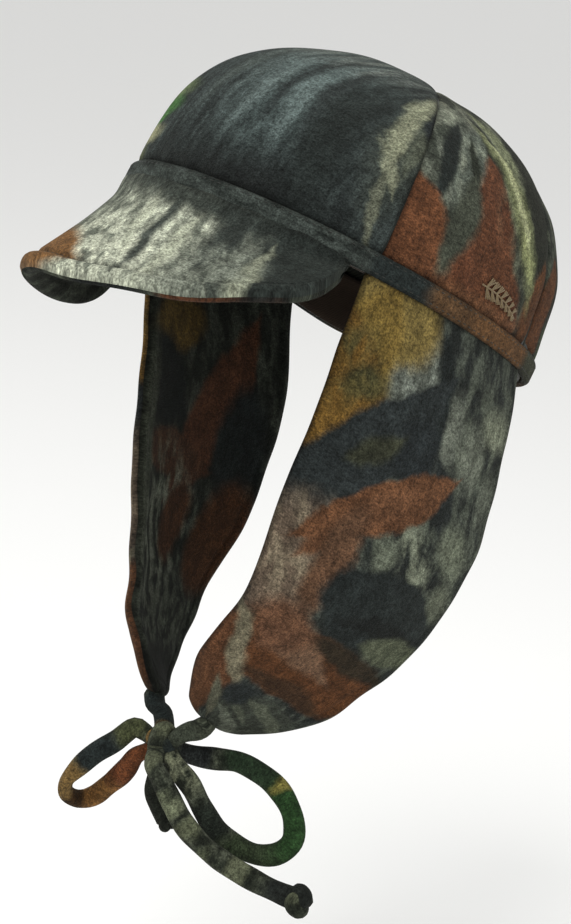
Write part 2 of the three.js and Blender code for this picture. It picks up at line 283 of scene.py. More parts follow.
def fleece_pile(tree, shader, place, colour, light):
    tuft = add(tree, "TexNoise", {"Vector": place, "Scale": 100 / TUFT, "Detail": 2.0, "Roughness": 0.6})
    grit = add(tree, "TexNoise", {"Vector": place, "Scale": 100 / GRIT, "Detail": 3.0, "Roughness": 0.7})
    lie = add(tree, "TexNoise", {"Vector": place, "Scale": 100 / LIE, "Detail": 3.0, "Roughness": 0.6})
    fine = add(tree, "MapRange", {"Value": tuft.outputs["Fac"], "From Min": 0.3, "From Max": 0.7,
                                            "To Min": 0.5 * light, "To Max": 1.52 * light})
    speck = add(tree, "MapRange", {"Value": grit.outputs["Fac"], "From Min": 0.32, "From Max": 0.68,
                                             "To Min": 0.5, "To Max": 1.55})
    slow = add(tree, "MapRange", {"Value": lie.outputs["Fac"], "From Min": 0.32, "From Max": 0.68,
                                            "To Min": 0.7, "To Max": 1.3})
    both = add(tree, "Math", {0: fine.outputs[0], 1: slow.outputs[0]}, operation="MULTIPLY")
    mottle = add(tree, "Math", {0: both.outputs[0], 1: speck.outputs[0]}, operation="MULTIPLY")
    seam = add(tree, "Attribute", attribute_name="Seam")
    # Painted shade with some grime: the colour darkens to 0.42 where Seam is 1.
    grime_and_painted_shade = add(tree, "MapRange", {"Value": seam.outputs["Fac"], "To Min": 1.0, "To Max": 0.42})
    final = add(tree, "Math", {0: mottle.outputs[0], 1: grime_and_painted_shade.outputs[0]}, operation="MULTIPLY")
    shaded = add(tree, "VectorMath", {0: colour, "Scale": final.outputs[0]}, operation="SCALE")
    tree.links.new(shaded.outputs[0], shader.inputs["Base Color"])
    height = add(tree, "Math", {0: tuft.outputs["Fac"], 1: grit.outputs["Fac"]}, operation="ADD")
    bump = add(tree, "Bump", {"Height": height.outputs[0], "Strength": 1.0, "Distance": 1.1 * MM})
    tree.links.new(bump.outputs["Normal"], shader.inputs["Normal"])


# %% [markdown]
# A print is a list of patches laid one over the other on the ground colour. A patch has a kind,
# a centre and two half sizes in millimetres of flat cloth, a turn in degrees, a colour and the
# softness of its edge. A `patch` is round, a `leaf` comes to a point at both ends, and a `bark`
# patch shows only where the bark's light ridges are.

# %% Printed fleece from patches
def patch_mask(tree, spread, kind, centre, size, turn, soft):
    local = add(tree, "Mapping", {"Vector": spread, "Location": (centre[0] / 100, centre[1] / 100, 0),
                                            "Rotation": (0, 0, math.radians(turn)),
                                            "Scale": (size[0] / 100, size[1] / 100, 1)}, vector_type="TEXTURE")
    if kind == "leaf":
        parts = add(tree, "SeparateXYZ", {0: local.outputs[0]})
        squared = add(tree, "Math", {0: parts.outputs[0], 1: parts.outputs[0]}, operation="MULTIPLY")
        aside = add(tree, "Math", {0: parts.outputs[1]}, operation="ABSOLUTE")
        reach = add(tree, "Math", {0: squared.outputs[0], 1: aside.outputs[0]}).outputs[0]
    else:
        reach = add(tree, "VectorMath", {0: local.outputs[0]}, operation="LENGTH").outputs["Value"]
    return add(tree, "MapRange", {"Value": reach, "From Min": 1 + soft, "From Max": 1 - soft},
               interpolation_type="SMOOTHSTEP").outputs[0]


def printed_fleece(name, ground, streak, grain, patches, light=0.92):
    material, tree, shader = new_material(name, 0.95, 0.06, 0.5, 0.12)
    shader.inputs["Sheen Tint"].default_value = linear("#a9ab9b")
    place = add(tree, "UVMap", uv_map="Print").outputs["UV"]
    broad = add(tree, "TexNoise", {"Vector": place, "Scale": 3.4, "Detail": 2.0})
    small = add(tree, "TexNoise", {"Vector": place, "Scale": 15.0, "Detail": 5.0, "Roughness": 0.66})
    half = (0.5, 0.5, 0.5)
    broad_off = add(tree, "VectorMath", {0: broad.outputs["Color"], 1: half}, operation="SUBTRACT")
    small_off = add(tree, "VectorMath", {0: small.outputs["Color"], 1: half}, operation="SUBTRACT")
    moved = add(tree, "VectorMath", {0: broad_off.outputs[0], 1: (0.11, 0.11, 0), 2: place},
                operation="MULTIPLY_ADD")
    spread = add(tree, "VectorMath", {0: small_off.outputs[0], 1: (0.055, 0.055, 0), 2: moved.outputs[0]},
                 operation="MULTIPLY_ADD").outputs[0]
    angle, long_way, short_way, low, high = grain
    along = add(tree, "Mapping", {"Vector": moved.outputs[0], "Rotation": (0, 0, math.radians(angle)),
                                            "Scale": (long_way / 100, short_way / 100, 1)}, vector_type="TEXTURE")
    bark = add(tree, "TexNoise", {"Vector": along.outputs[0], "Scale": 1.0, "Detail": 4.0,
                                            "Roughness": 0.55})
    ridges = add(tree, "MapRange", {"Value": bark.outputs["Fac"], "From Min": low, "From Max": high},
                 interpolation_type="SMOOTHSTEP").outputs[0]
    colour = add(tree, "Mix", {0: ridges, 6: linear(ground), 7: linear(streak)},
                 data_type="RGBA").outputs[2]
    for kind, centre, size, turn, code, soft in patches:
        mask = patch_mask(tree, spread, kind, centre, size, turn, soft)
        if kind == "bark":
            mask = add(tree, "Math", {0: mask, 1: ridges}, operation="MULTIPLY").outputs[0]
        colour = add(tree, "Mix", {0: mask, 6: colour, 7: linear(code)}, data_type="RGBA").outputs[2]
    deep = add(tree, "MapRange", {"Value": ridges, "To Min": 0.78, "To Max": 1.12}).outputs[0]
    colour = add(tree, "VectorMath", {0: colour, "Scale": deep}, operation="SCALE").outputs[0]
    fleece_pile(tree, shader, place, colour, light)
    return material


# %% [markdown]
# ## The prints, piece by piece
#
# The hat was cut from one bolt of cloth, so each piece shows a different part of the same
# woodland: dark bark on the front, a rust leaf and lime lichen on the side, mustard, rust and a
# dark leaf on the flaps, and pale bark on the visor.

# %% Print on the crown
CROWN_FRONT_PRINT = [
    ("patch", (26, 74), (24, 42), 4, "#424c4a", 0.7),
    ("leaf", (14, 66), (34, 5), 88, "#56615e", 0.7),
    ("leaf", (24, 76), (36, 4), 92, "#2b3130", 0.7),
    ("leaf", (33, 70), (38, 6), 94, "#5a6663", 0.7),
    ("leaf", (42, 74), (34, 4), 98, "#313736", 0.7),
    ("leaf", (4, 84), (34, 5), 86, "#4c5653", 0.7),
    ("leaf", (-10, 78), (36, 6), 84, "#454d49", 0.7),
    ("bark", (20, 112), (44, 20), 0, "#5d625c", 0.6),
    ("patch", (30, 10), (58, 14), 0, "#1d201f", 0.7),
    ("patch", (58, 50), (12, 40), 10, "#222725", 0.7),
    ("patch", (84, 60), (11, 34), 14, "#3a3f38", 0.6),
    ("leaf", (73, 74), (40, 4.2), 112, "#878a72", 0.6),
    ("leaf", (85, 45), (16, 3), 134, "#787b66", 0.6),
    ("leaf", (91, 26), (20, 2.4), 112, "#5d6051", 0.6),
    ("leaf", (88, 62), (18, 4), 106, "#565b4d", 0.6),
    ("leaf", (79, 82), (18, 3), 120, "#23282a", 0.6),
    ("patch", (-58, 44), (26, 9), 10, "#5c6a48", 0.4),
    ("patch", (-54, 34), (22, 7), 8, "#3f6833", 0.4),
    ("patch", (-60, 24), (26, 5), 0, "#9a9a78", 0.4),
    ("patch", (-70, 14), (26, 6), 0, "#5b6147", 0.4),
    ("leaf", (-84, 60), (34, 8), 70, "#2c332d", 0.4),
]
CROWN_SIDE_PRINT = [
    ("patch", (-22, 72), (24, 34), -14, "#3f443b", 0.4),
    ("bark", (-22, 76), (24, 34), -20, "#6b7064", 0.4),
    ("leaf", (-19, 62), (34, 12), 82, "#596056", 0.3),
    ("bark", (-19, 62), (10, 22), 0, "#737869", 0.4),
    ("leaf", (-32, 66), (30, 4), 74, "#1f2422", 0.4),
    ("leaf", (-8, 76), (30, 4), 98, "#23261f", 0.4),
    ("leaf", (-20, 66), (20, 2.5), 88, "#23271f", 0.5),
    ("leaf", (-32, 90), (20, 4), 50, "#7b8070", 0.5),
    ("bark", (-8, 112), (26, 18), 20, "#66685a", 0.4),
    ("leaf", (-42, 16), (36, 17), 97, "#5f3c26", 0.15),
    ("leaf", (-4, 26), (52, 17), 98, "#5b3825", 0.14),
    ("leaf", (12, 14), (44, 16), 128, "#5a3825", 0.15),
    ("patch", (-8, 2), (56, 14), 0, "#5d3c27", 0.25),
    ("leaf", (-22, 40), (22, 8), 86, "#41453a", 0.35),
    ("leaf", (-4, 10), (40, 5), 10, "#6f4c34", 0.7),
    ("bark", (15, 84), (15, 32), -14, "#5b5f4c", 0.5),
    ("leaf", (27, 66), (46, 12), 116, "#23251e", 0.4),
    ("patch", (44, 60), (12, 50), 0, "#22241d", 0.5),
    ("leaf", (41, 26), (22, 10), 100, "#56361f", 0.3),
    ("leaf", (10, 60), (44, 6), 124, "#6c7150", 0.5),
    ("leaf", (8, 64), (36, 2.4), 122, "#a3a77f", 0.7),
    ("leaf", (22, 42), (16, 3), 132, "#8a8f64", 0.6),
    ("leaf", (0, 92), (22, 5), 112, "#6d7258", 0.4),
]
CROWN_BACK_PRINT = [
    ("leaf", (-42, 26), (32, 12), 80, "#56351f", 0.15),
    ("leaf", (-14, 50), (40, 17), 60, "#22251f", 0.15),
    ("bark", (16, 40), (30, 52), -10, "#5d6153", 0.4),
    ("leaf", (30, 22), (34, 14), 15, "#665431", 0.2),
    ("leaf", (2, 80), (36, 9), 120, "#5a3a24", 0.2),
    ("patch", (-8, 14), (24, 9), -20, "#39432d", 0.3),
    ("bark", (5, 112), (22, 20), 20, "#5f5b4c", 0.4),
]
FRONT_FLEECE = printed_fleece("printed_fleece_front", "#232827", "#3c4442",
                              (88, 30, 5, 0.3, 0.75), CROWN_FRONT_PRINT)
SIDE_FLEECE = printed_fleece("printed_fleece_side", "#2c2f28", "#555849",
                             (96, 15, 7, 0.4, 0.66), CROWN_SIDE_PRINT)
BACK_FLEECE = printed_fleece("printed_fleece_back", "#2a2e28", "#4f5346",
                             (80, 15, 8, 0.4, 0.66), CROWN_BACK_PRINT)

# %% Print on the visor and headband
VISOR_PRINT = [
    ("patch", (18, 34), (44, 44), 10, "#6d7265", 0.6),
    ("bark", (18, 34), (44, 44), 10, "#aeb29e", 0.5),
    ("bark", (-4, 50), (46, 22), 0, "#b8bba6", 0.5),
    ("patch", (-66, 38), (36, 22), -10, "#5f6459", 0.6),
    ("leaf", (8, 22), (32, 3), 62, "#a9ad98", 0.7),
    ("leaf", (22, 30), (34, 3), 74, "#3f443e", 0.7),
    ("leaf", (38, 36), (30, 3.4), 78, "#9a9e8a", 0.7),
    ("patch", (50, 3), (54, 8), 0, "#2b302c", 0.7),
    ("patch", (0, 2), (34, 5), 0, "#3b403a", 0.7),
    ("leaf", (90, 30), (56, 24), 80, "#252a27", 0.3),
    ("leaf", (54, 20), (26, 9), 84, "#2f3430", 0.6),
    ("leaf", (77, 42), (28, 4), 82, "#898d79", 0.6),
    ("bark", (62, 44), (16, 24), 12, "#6d7266", 0.5),
    ("leaf", (-34, 53), (44, 17), 10, "#70502f", 0.25),
    ("patch", (-62, 57), (22, 6), 8, "#2c2f25", 0.4),
]
BAND_PRINT = [
    ("bark", (0, 5), (104, 8), 0, "#3d433f", 0.4),
    ("patch", (-88, 5), (14, 10), 0, "#6c705c", 0.5),
    ("patch", (116, 5), (15, 12), 0, "#212726", 0.2),
    ("patch", (146, 5), (17, 14), 0, "#57402a", 0.25),
    ("patch", (180, 5), (26, 12), 0, "#5d4229", 0.25),
    ("patch", (225, 5), (22, 12), 0, "#343629", 0.25),
    ("patch", (268, 5), (26, 12), 0, "#4d3b27", 0.25),
    ("patch", (-130, 5), (26, 12), 0, "#573f2a", 0.25),
    ("patch", (-190, 5), (30, 12), 0, "#2d3128", 0.25),
    ("patch", (-260, 5), (30, 12), 0, "#4c3f29", 0.25),
]
VISOR_FLEECE = printed_fleece("printed_fleece_visor", "#3b403a", "#767b6d",
                              (66, 14, 6, 0.34, 0.66), VISOR_PRINT)
BAND_FLEECE = printed_fleece("printed_fleece_band", "#252a27", "#3a403b", (0, 20, 6, 0.35, 0.65), BAND_PRINT)

# %% Print on the flaps and linings
FLAP_OUTER_PRINT = [
    ("bark", (90, 56), (38, 62), 8, "#484d43", 0.5),
    ("patch", (38, 28), (13, 16), 15, "#5f645b", 0.5),
    ("bark", (38, 28), (12, 15), 15, "#747a70", 0.5),
    ("patch", (65, 39), (8, 15), 8, "#6d7266", 0.5),
    ("patch", (85, 42), (9, 12), -10, "#6a6f62", 0.5),
    ("patch", (101, 27), (12, 7), 0, "#737866", 0.5),
    ("patch", (106, 52), (7, 10), 0, "#5d6256", 0.5),
    ("leaf", (56, 28), (26, 6), 75, "#1f2423", 0.4),
    ("leaf", (74, 62), (20, 7), 60, "#242827", 0.4),
    ("patch", (94, 78), (13, 9), 30, "#6b7160", 0.5),
    ("bark", (68, 92), (22, 13), 30, "#696e5e", 0.4),
    ("patch", (56, 94), (5, 8), 20, "#646a5b", 0.5),
    ("patch", (104, 100), (9, 9), 20, "#636858", 0.5),
    ("patch", (12, 6), (33, 19), 4, "#77673a", 0.14),
    ("leaf", (10, 26), (30, 16), 100, "#74602f", 0.2),
    ("leaf", (2, 46), (36, 26), 80, "#735728", 0.15),
    ("patch", (16, 33), (10, 6), -10, "#3b3b25", 0.5),
    ("bark", (6, 30), (18, 14), 0, "#4c4527", 0.5),
    ("leaf", (24, 62), (58, 17), -51, "#292e2e", 0.12),
    ("patch", (50, 50), (15, 13), -10, "#262b2c", 0.25),
    ("leaf", (30, 56), (16, 6), -40, "#35372a", 0.5),
    ("patch", (12, 118), (24, 27), 12, "#66584a", 0.35),
    ("bark", (12, 112), (18, 22), 12, "#7b705d", 0.5),
    ("leaf", (44, 79), (46, 11), -38, "#62422c", 0.14),
    ("leaf", (36, 88), (34, 7), -48, "#65452f", 0.3),
    ("patch", (33, 110), (10, 27), 8, "#5c4331", 0.3),
    ("patch", (74, 120), (40, 21), -3, "#242928", 0.1),
    ("leaf", (78, 126), (30, 5), -8, "#1b1e1d", 0.4),
    ("leaf", (100, 133), (26, 9), -8, "#545947", 0.3),
    ("patch", (62, 164), (64, 22), 3, "#56361f", 0.12),
    ("leaf", (74, 148), (46, 7), 2, "#2e261b", 0.4),
    ("leaf", (46, 156), (40, 7), 16, "#6c5340", 0.4),
    ("patch", (28, 148), (20, 12), 10, "#624532", 0.4),
    ("leaf", (66, 180), (44, 6), 4, "#3d2a1b", 0.4),
    ("patch", (8, 192), (22, 42), -4, "#5c3d28", 0.15),
    ("leaf", (17, 168), (30, 6), 56, "#726c58", 0.4),
    ("patch", (80, 214), (54, 23), 4, "#3b3f37", 0.15),
    ("leaf", (70, 222), (44, 4), 14, "#62675a", 0.4),
    ("leaf", (88, 204), (40, 4), 12, "#5a5f50", 0.4),
    ("leaf", (56, 208), (30, 3), 18, "#555a4c", 0.4),
    ("patch", (42, 197), (13, 12), 20, "#262b2b", 0.3),
    ("leaf", (30, 210), (24, 5), 62, "#5c5c4c", 0.4),
]
FLAP_LINING_PRINT = [
    ("patch", (30, 34), (26, 11), -14, "#6a5528", 0.25),
    ("leaf", (20, 62), (32, 20), 20, "#1f2322", 0.2),
    ("leaf", (70, 66), (58, 15), 119, "#5d3b27", 0.15),
    ("patch", (94, 70), (18, 26), 0, "#212726", 0.25),
    ("leaf", (40, 92), (40, 11), -8, "#553825", 0.2),
    ("bark", (36, 134), (34, 44), 20, "#767b6b", 0.35),
    ("patch", (102, 118), (22, 34), 10, "#53351f", 0.2),
    ("patch", (58, 122), (12, 22), 10, "#50331f", 0.3),
    ("bark", (50, 178), (60, 22), -12, "#555a4d", 0.4),
    # Painted highlight: a paler strip along the front edge, where the lining turns towards the light.
    ("patch", (4, 96), (9, 52), 0, "#565b4d", 0.4),
    ("patch", (60, 216), (60, 20), 0, "#22251f", 0.3),
]
FLAP_FLEECE = printed_fleece("printed_fleece_flap", "#272b29", "#474c44",
                             (80, 14, 8, 0.4, 0.64), FLAP_OUTER_PRINT)
# The lining is printed at half brightness (light 0.5): painted shade for the inside of the flaps and the underside of
# the visor.
SHADED_LINING_FLEECE = printed_fleece("printed_fleece_lining_painted_shade", "#262a24", "#42473d",
                               (72, 14, 8, 0.4, 0.64), FLAP_LINING_PRINT, 0.5)

# %% [markdown]
# The rest is plainer. The crown's lining is a thin dark brushed knit, the sweatband a folded
# twill, and the thread a matt spun polyester. The visor's board is soft black plastic and the
# padding is white bonded fibre: both are hidden, but they are there if the hat is opened.

# %% Lining, twill, thread and board
def ribbed_cloth(name, code, shade, rib, height):
    material, tree, shader = new_material(name, 0.9, 0.15, 0.5, 0.25)
    place = add(tree, "UVMap", uv_map="Print").outputs["UV"]
    ribs = add(tree, "TexWave", {"Vector": place, "Scale": 44.4 / rib, "Distortion": 3.0,
                                           "Detail": 2.0}, wave_type="BANDS", bands_direction="DIAGONAL")
    cloudy = add(tree, "TexNoise", {"Vector": place, "Scale": 9.0, "Detail": 4.0})
    weave = add(tree, "Mix", {0: ribs.outputs["Fac"], 6: linear(shade), 7: linear(code)},
                data_type="RGBA")
    worn_in = add(tree, "MapRange", {"Value": cloudy.outputs["Fac"], "To Min": 0.7, "To Max": 1.3})
    shaded = add(tree, "VectorMath", {0: weave.outputs[2], "Scale": worn_in.outputs[0]},
                 operation="SCALE")
    tree.links.new(shaded.outputs[0], shader.inputs["Base Color"])
    bump = add(tree, "Bump", {"Height": ribs.outputs["Fac"], "Strength": 0.5, "Distance": height * MM})
    tree.links.new(bump.outputs["Normal"], shader.inputs["Normal"])
    return material


KNIT = ribbed_cloth("brushed_knit_lining", "#2a2c24", "#181a15", 1.4, 0.25)
TWILL = ribbed_cloth("sweatband_twill", "#33271c", "#291f17", 0.9, 0.2)
LABEL = ribbed_cloth("woven_label", "#dddacd", "#c4c0b2", 0.9, 0.1)
PADDING = ribbed_cloth("bonded_fibre_padding", "#d6d3c8", "#bdb9ad", 3.0, 0.6)
THREAD = ribbed_cloth("spun_polyester_thread", "#23251f", "#181a15", 0.6, 0.1)
TAN_THREAD = ribbed_cloth("tan_embroidery_thread", "#867452", "#5f4f36", 0.6, 0.15)
BOARD = ribbed_cloth("soft_black_plastic_board", "#242424", "#1c1c1c", 5.0, 0.05)

# %% [markdown]
# ## The ties and their bow
#
# The ties are strips of the same fleece, sewn into soft tubes just under 10 mm across. Each leaves the
# tip of an ear flap. They meet in a bow: each makes one loop, both pass through the knot, and
# their ends hang below it. The routes are the ones that the frame's solids follow. A tube is swept
# along a smooth curve through those points, with a slightly flat section, because a fleece tube
# has no core. The section is turned with the curve so that it never twists suddenly.

# %% The routes, in millimetres as worn
LEFT_TIE = [[15.5, -61.5, -197.5], [12, -63.8, -199.3], [8.8, -65.9, -201.8]]
RIGHT_TIE = [[-15.5, -61, -196.5], [-10, -61.5, -198], [-5.1, -63.9, -201.3]]
RIGHT_LOOP = [
    [-7.9, -73.7, -204.8], [-11.9, -76, -204.2], [-15.8, -82.3, -211], [-20.7, -89.1, -217.3],
    [-25.9, -93.9, -225.4], [-31, -95.8, -233.4], [-34.5, -92.4, -241.1], [-34.2, -85, -245.4],
    [-30.7, -79.1, -243.6], [-25.5, -76.4, -237.3], [-19.3, -75.5, -230.5], [-14.6, -75, -224.4],
    [-11, -74.3, -218], [-6.8, -72.6, -214.2],
]
LEFT_LOOP = [
    [9.5, -69, -214.4], [14.3, -68.5, -217.6], [19.5, -65.4, -223.4], [25.4, -62.6, -232.1],
    [32.5, -59, -240.5], [40.8, -53.6, -245.9], [49.5, -48.2, -247.8], [56.8, -42.7, -245.6],
    [60.2, -37.7, -239.1], [56.7, -35.1, -230.9], [50.4, -34.9, -223.8], [42.8, -36.7, -218],
    [34.5, -40.8, -213.9], [25.8, -44.4, -212.1], [16.8, -48.9, -213.2], [10.1, -54.5, -213.4],
    [6.3, -60.6, -211.7],
]
LONG_TAIL = [
    [5.8, -77.8, -213.2], [9.6, -80.1, -215.2], [13.7, -80, -218.3], [19, -77.1, -227.2],
    [25.9, -74.3, -236.4], [33.2, -70.8, -242.9], [41.7, -66.5, -248.2], [51.2, -61.2, -252.5],
    [60.8, -55.5, -256], [69.4, -50.1, -258.4], [72.6, -47.9, -259.2],
]
SHORT_TAIL = [
    [-1.1, -65.3, -217.7], [-4.5, -63.2, -223.5], [-6.5, -63.2, -234.6], [-4.5, -61.4, -241.5],
    [-1.3, -58.8, -247.6],
]
KNOT = np.array([1.0, -69.0, -208.0])
LEFT_TIP = [19.0, -59.6, -193.5]
RIGHT_TIP = [-19.0, -59.6, -192.5]
TIE_WIDTH = 10.4
TIE_DEPTH = 7.2
ROUTE_STEP = 1.6
BOW_FACING = np.array([0.69, -0.68, 0.25])


def curve_through(points, step):
    points = np.asarray(points, float)
    ends = np.vstack([2 * points[0] - points[1], points, 2 * points[-1] - points[-2]])
    fine = []
    for k in range(1, len(points)):
        p0, p1, p2, p3 = ends[k - 1:k + 3]
        t = np.linspace(0, 1, 24, endpoint=False)[:, None]
        fine.append(0.5 * (2 * p1 + (p2 - p0) * t + (2 * p0 - 5 * p1 + 4 * p2 - p3) * t ** 2
                           + (3 * p1 - p0 - 3 * p2 + p3) * t ** 3))
    fine = np.vstack(fine + [points[-1:]])
    length = np.concatenate([[0], np.cumsum(np.linalg.norm(np.diff(fine, axis=0), axis=1))])
    even = np.linspace(0, length[-1], max(8, round(length[-1] / step)))
    return np.stack([np.interp(even, length, fine[:, axis]) for axis in range(3)], -1)


def carried_frames(path, first, facing=None):
    ahead = np.gradient(path, axis=0)
    ahead /= np.linalg.norm(ahead, axis=1, keepdims=True)
    side = np.asarray(first, float)
    sides = []
    for direction in ahead:
        side = side - direction * (side @ direction)
        side = side / np.linalg.norm(side)
        if facing is not None:
            flat_on = np.cross(direction, facing)
            flat_on = flat_on * (1 if flat_on @ side >= 0 else -1)
            side = side + 0.35 * flat_on
            side = side / np.linalg.norm(side)
        sides.append(side)
    sides = np.array(sides)
    return sides, np.cross(ahead, sides)


def tube(name, path, width, depth, material, first=(0, 1, 0), closed=False, start=0.0, around=20, facing=None,
         pinches=()):
    sides, ups = carried_frames(path, first, facing)
    length = np.concatenate([[0], np.cumsum(np.linalg.norm(np.diff(path, axis=0), axis=1))])
    angle = np.linspace(0, 2 * math.pi, around, endpoint=False)
    seam = 1 - 0.10 * np.exp(-((angle - math.pi) / 0.35) ** 2)
    crumple = 1 + 0.035 * np.sin(length / 5.3 + 1) + 0.025 * np.sin(length / 2.9)
    for middle, spread, amount in pinches:
        crumple = crumple * (1 - amount * np.exp(-((length - middle) / spread) ** 2))
    half_wide = (width / 2) * crumple[:, None] * (seam * np.cos(angle))[None]
    half_deep = (depth / 2) * np.minimum(2 - crumple, 1.2)[:, None] * (seam * np.sin(angle))[None]
    rings = path[:, None] + sides[:, None] * half_wide[..., None] + ups[:, None] * half_deep[..., None]
    rows = len(path)
    cap = not closed
    if cap:
        grow = 0.75
        tips = []
        for end, inner, sign in ((0, 0, -1), (rows - 1, rows - 1, 1)):
            ahead = path[min(end + 1, rows - 1)] - path[max(end - 1, 0)]
            ahead = ahead / np.linalg.norm(ahead)
            ring = path[inner] + (rings[inner] - path[inner]) * grow + sign * ahead * depth * 0.25
            tips.append(ring)
        rings = np.concatenate([tips[0][None], rings, tips[1][None]])
        length = np.concatenate([[length[0]], length, [length[-1]]])
        rows += 2
    r, c = np.meshgrid(np.arange(rows if closed else rows - 1), np.arange(around), indexing="ij")
    a = (r * around + c).ravel()
    b = (r * around + (c + 1) % around).ravel()
    up = (((r + 1) % rows) * around).ravel()
    quads = np.stack([b, a, up + c.ravel(), up + ((c + 1) % around).ravel()], -1).tolist()
    points = rings.reshape(-1, 3).tolist()
    flat_u = np.tile(angle / (2 * math.pi) * 25, rows)
    flat_v = np.repeat(length + start, around)
    flat = np.stack([flat_u, flat_v], -1).tolist()
    if cap:
        for ring, row in ((0, 0), (rows - 1, rows - 1)):
            centre = rings[row].mean(0)
            points.append(centre.tolist())
            flat.append([0, float(length[row]) + start])
            hub = len(points) - 1
            for k in range(around):
                one, two = row * around + k, row * around + (k + 1) % around
                quads.append([hub, two, one] if row else [hub, one, two])
    return mesh_piece(name, metres(points), quads, np.asarray(flat) / 100, material)


# %% Print on the ties
LEFT_TIE_PRINT = [
    ("patch", (12, 12), (16, 8), 0, "#3c4136", 0.3),
    ("bark", (12, 34), (20, 12), 0, "#6d705a", 0.4),
    ("patch", (12, 62), (18, 9), 0, "#20251f", 0.3),
    ("patch", (12, 88), (22, 16), 0, "#2c3524", 0.3),
    ("patch", (12, 118), (24, 22), 0, "#253d20", 0.3),
    ("patch", (12, 134), (8, 4), 0, "#6a6433", 0.4),
    ("patch", (12, 150), (24, 12), 0, "#243222", 0.3),
    ("patch", (12, 176), (18, 9), 0, "#252827", 0.3),
    ("patch", (6, 190), (12, 4), 0, "#5d614c", 0.4),
    ("patch", (14, 205), (12, 4), 0, "#575b47", 0.4),
    ("patch", (16, 222), (9, 4), 0, "#595e4a", 0.4),
    ("patch", (12, 229), (10, 4), 0, "#5e634e", 0.4),
    ("patch", (4, 240), (10, 4), 0, "#4f5340", 0.4),
    ("patch", (16, 252), (10, 4), 0, "#4d523f", 0.4),
    ("patch", (8, 270), (14, 5), 0, "#585c48", 0.4),
    ("patch", (12, 296), (24, 12), 0, "#202320", 0.3),
]
RIGHT_TIE_PRINT = [
    ("patch", (12, 12), (22, 8), 0, "#3f432c", 0.3),
    ("patch", (12, 30), (22, 10), 0, "#212726", 0.25),
    ("patch", (12, 52), (24, 12), 0, "#6a5430", 0.25),
    ("patch", (12, 68), (24, 8), 0, "#3a2815", 0.3),
    ("patch", (12, 84), (24, 12), 0, "#6e4e2a", 0.25),
    ("patch", (12, 110), (24, 18), 0, "#613820", 0.25),
    ("patch", (12, 152), (24, 26), 0, "#1f221c", 0.3),
]
LEFT_TIE_FLEECE = printed_fleece("printed_fleece_left_tie", "#23271f", "#42463a",
                                 (80, 9, 6, 0.4, 0.62), LEFT_TIE_PRINT)
RIGHT_TIE_FLEECE = printed_fleece("printed_fleece_right_tie", "#262a22", "#464a3d",
                                  (80, 9, 6, 0.4, 0.62), RIGHT_TIE_PRINT)

# %% Sweep the ties
through_left = [[5.5, -68, -206.5]]
left_route = curve_through([LEFT_TIP] + LEFT_TIE + through_left + [[5.5, -68.5, -211]] + LEFT_LOOP
                           + [[2.5, -66, -209]] + [[2.5, -72.5, -209.5]] + LONG_TAIL, ROUTE_STEP)
inside_knot = [[-2.5, -70.5, -211.5], [-1, -67, -212.5]]
right_route = curve_through([[-3.5, -71.3, -207.0]] + RIGHT_LOOP + inside_knot + SHORT_TAIL, ROUTE_STEP)
stub_route = curve_through([RIGHT_TIP] + RIGHT_TIE + [[-2.5, -66, -204]], ROUTE_STEP)
left_cord = tube("left_tie_cord", left_route, TIE_WIDTH, TIE_DEPTH, LEFT_TIE_FLEECE, (0.4, 0.6, 0.5),
                 facing=BOW_FACING, pinches=[(22, 12, 0.25), (190, 12, 0.2), (205, 9, 0.2)])
right_cord = tube("right_tie_cord", right_route, TIE_WIDTH, TIE_DEPTH, RIGHT_TIE_FLEECE, (0.3, 0.8, 0.3),
                  facing=BOW_FACING, pinches=[(0, 9, 0.3), (57, 16, 0.36), (116, 9, 0.3)])
stub = tube("right_tie_stub", stub_route, TIE_WIDTH, TIE_DEPTH, RIGHT_TIE_FLEECE, (0, 1, 0), start=20)


def route_length(path):
    return float(np.linalg.norm(np.diff(path, axis=0), axis=1).sum())


print("left tie", round(route_length(left_route)), "mm, right tie", round(route_length(right_route)), "mm")

# %% [markdown]
# ## The knots
#
# The bow's knot is the strip that wraps once round the crossing of the loops: a fat, slightly
# leaning ring. Each tie also ends in a small hard knot so that its cut end can't fray. A trefoil
# curve swept with the same kind of tube is the simplest shape that reads as an overhand knot.

# %% Tie the knots
def ring_round(centre, axis, lean, radius, count):
    axis = np.asarray(axis, float) / np.linalg.norm(axis)
    one = np.cross(axis, (0, 0, 1))
    one /= np.linalg.norm(one)
    two = np.cross(axis, one)
    t = np.linspace(0, 2 * math.pi, count, endpoint=False)[:, None]
    return centre + radius * (np.cos(t) * one + np.sin(t) * two) + lean * np.sin(t) * axis


def trefoil(centre, axis, size, count):
    axis = np.asarray(axis, float) / np.linalg.norm(axis)
    one = np.cross(axis, (0, 0, 1))
    one /= np.linalg.norm(one)
    two = np.cross(axis, one)
    t = np.linspace(0, 2 * math.pi, count, endpoint=False)[:, None]
    x = np.sin(t) + 2 * np.sin(2 * t)
    y = np.cos(t) - 2 * np.cos(2 * t)
    z = -np.sin(3 * t)
    return centre + size * (x * one + y * two + 1.4 * z * axis)


def beyond_end(route, gap):
    route = np.asarray(route, float)
    way = route[-1] - route[-2]
    way /= np.linalg.norm(way)
    return route[-1] + gap * way, way


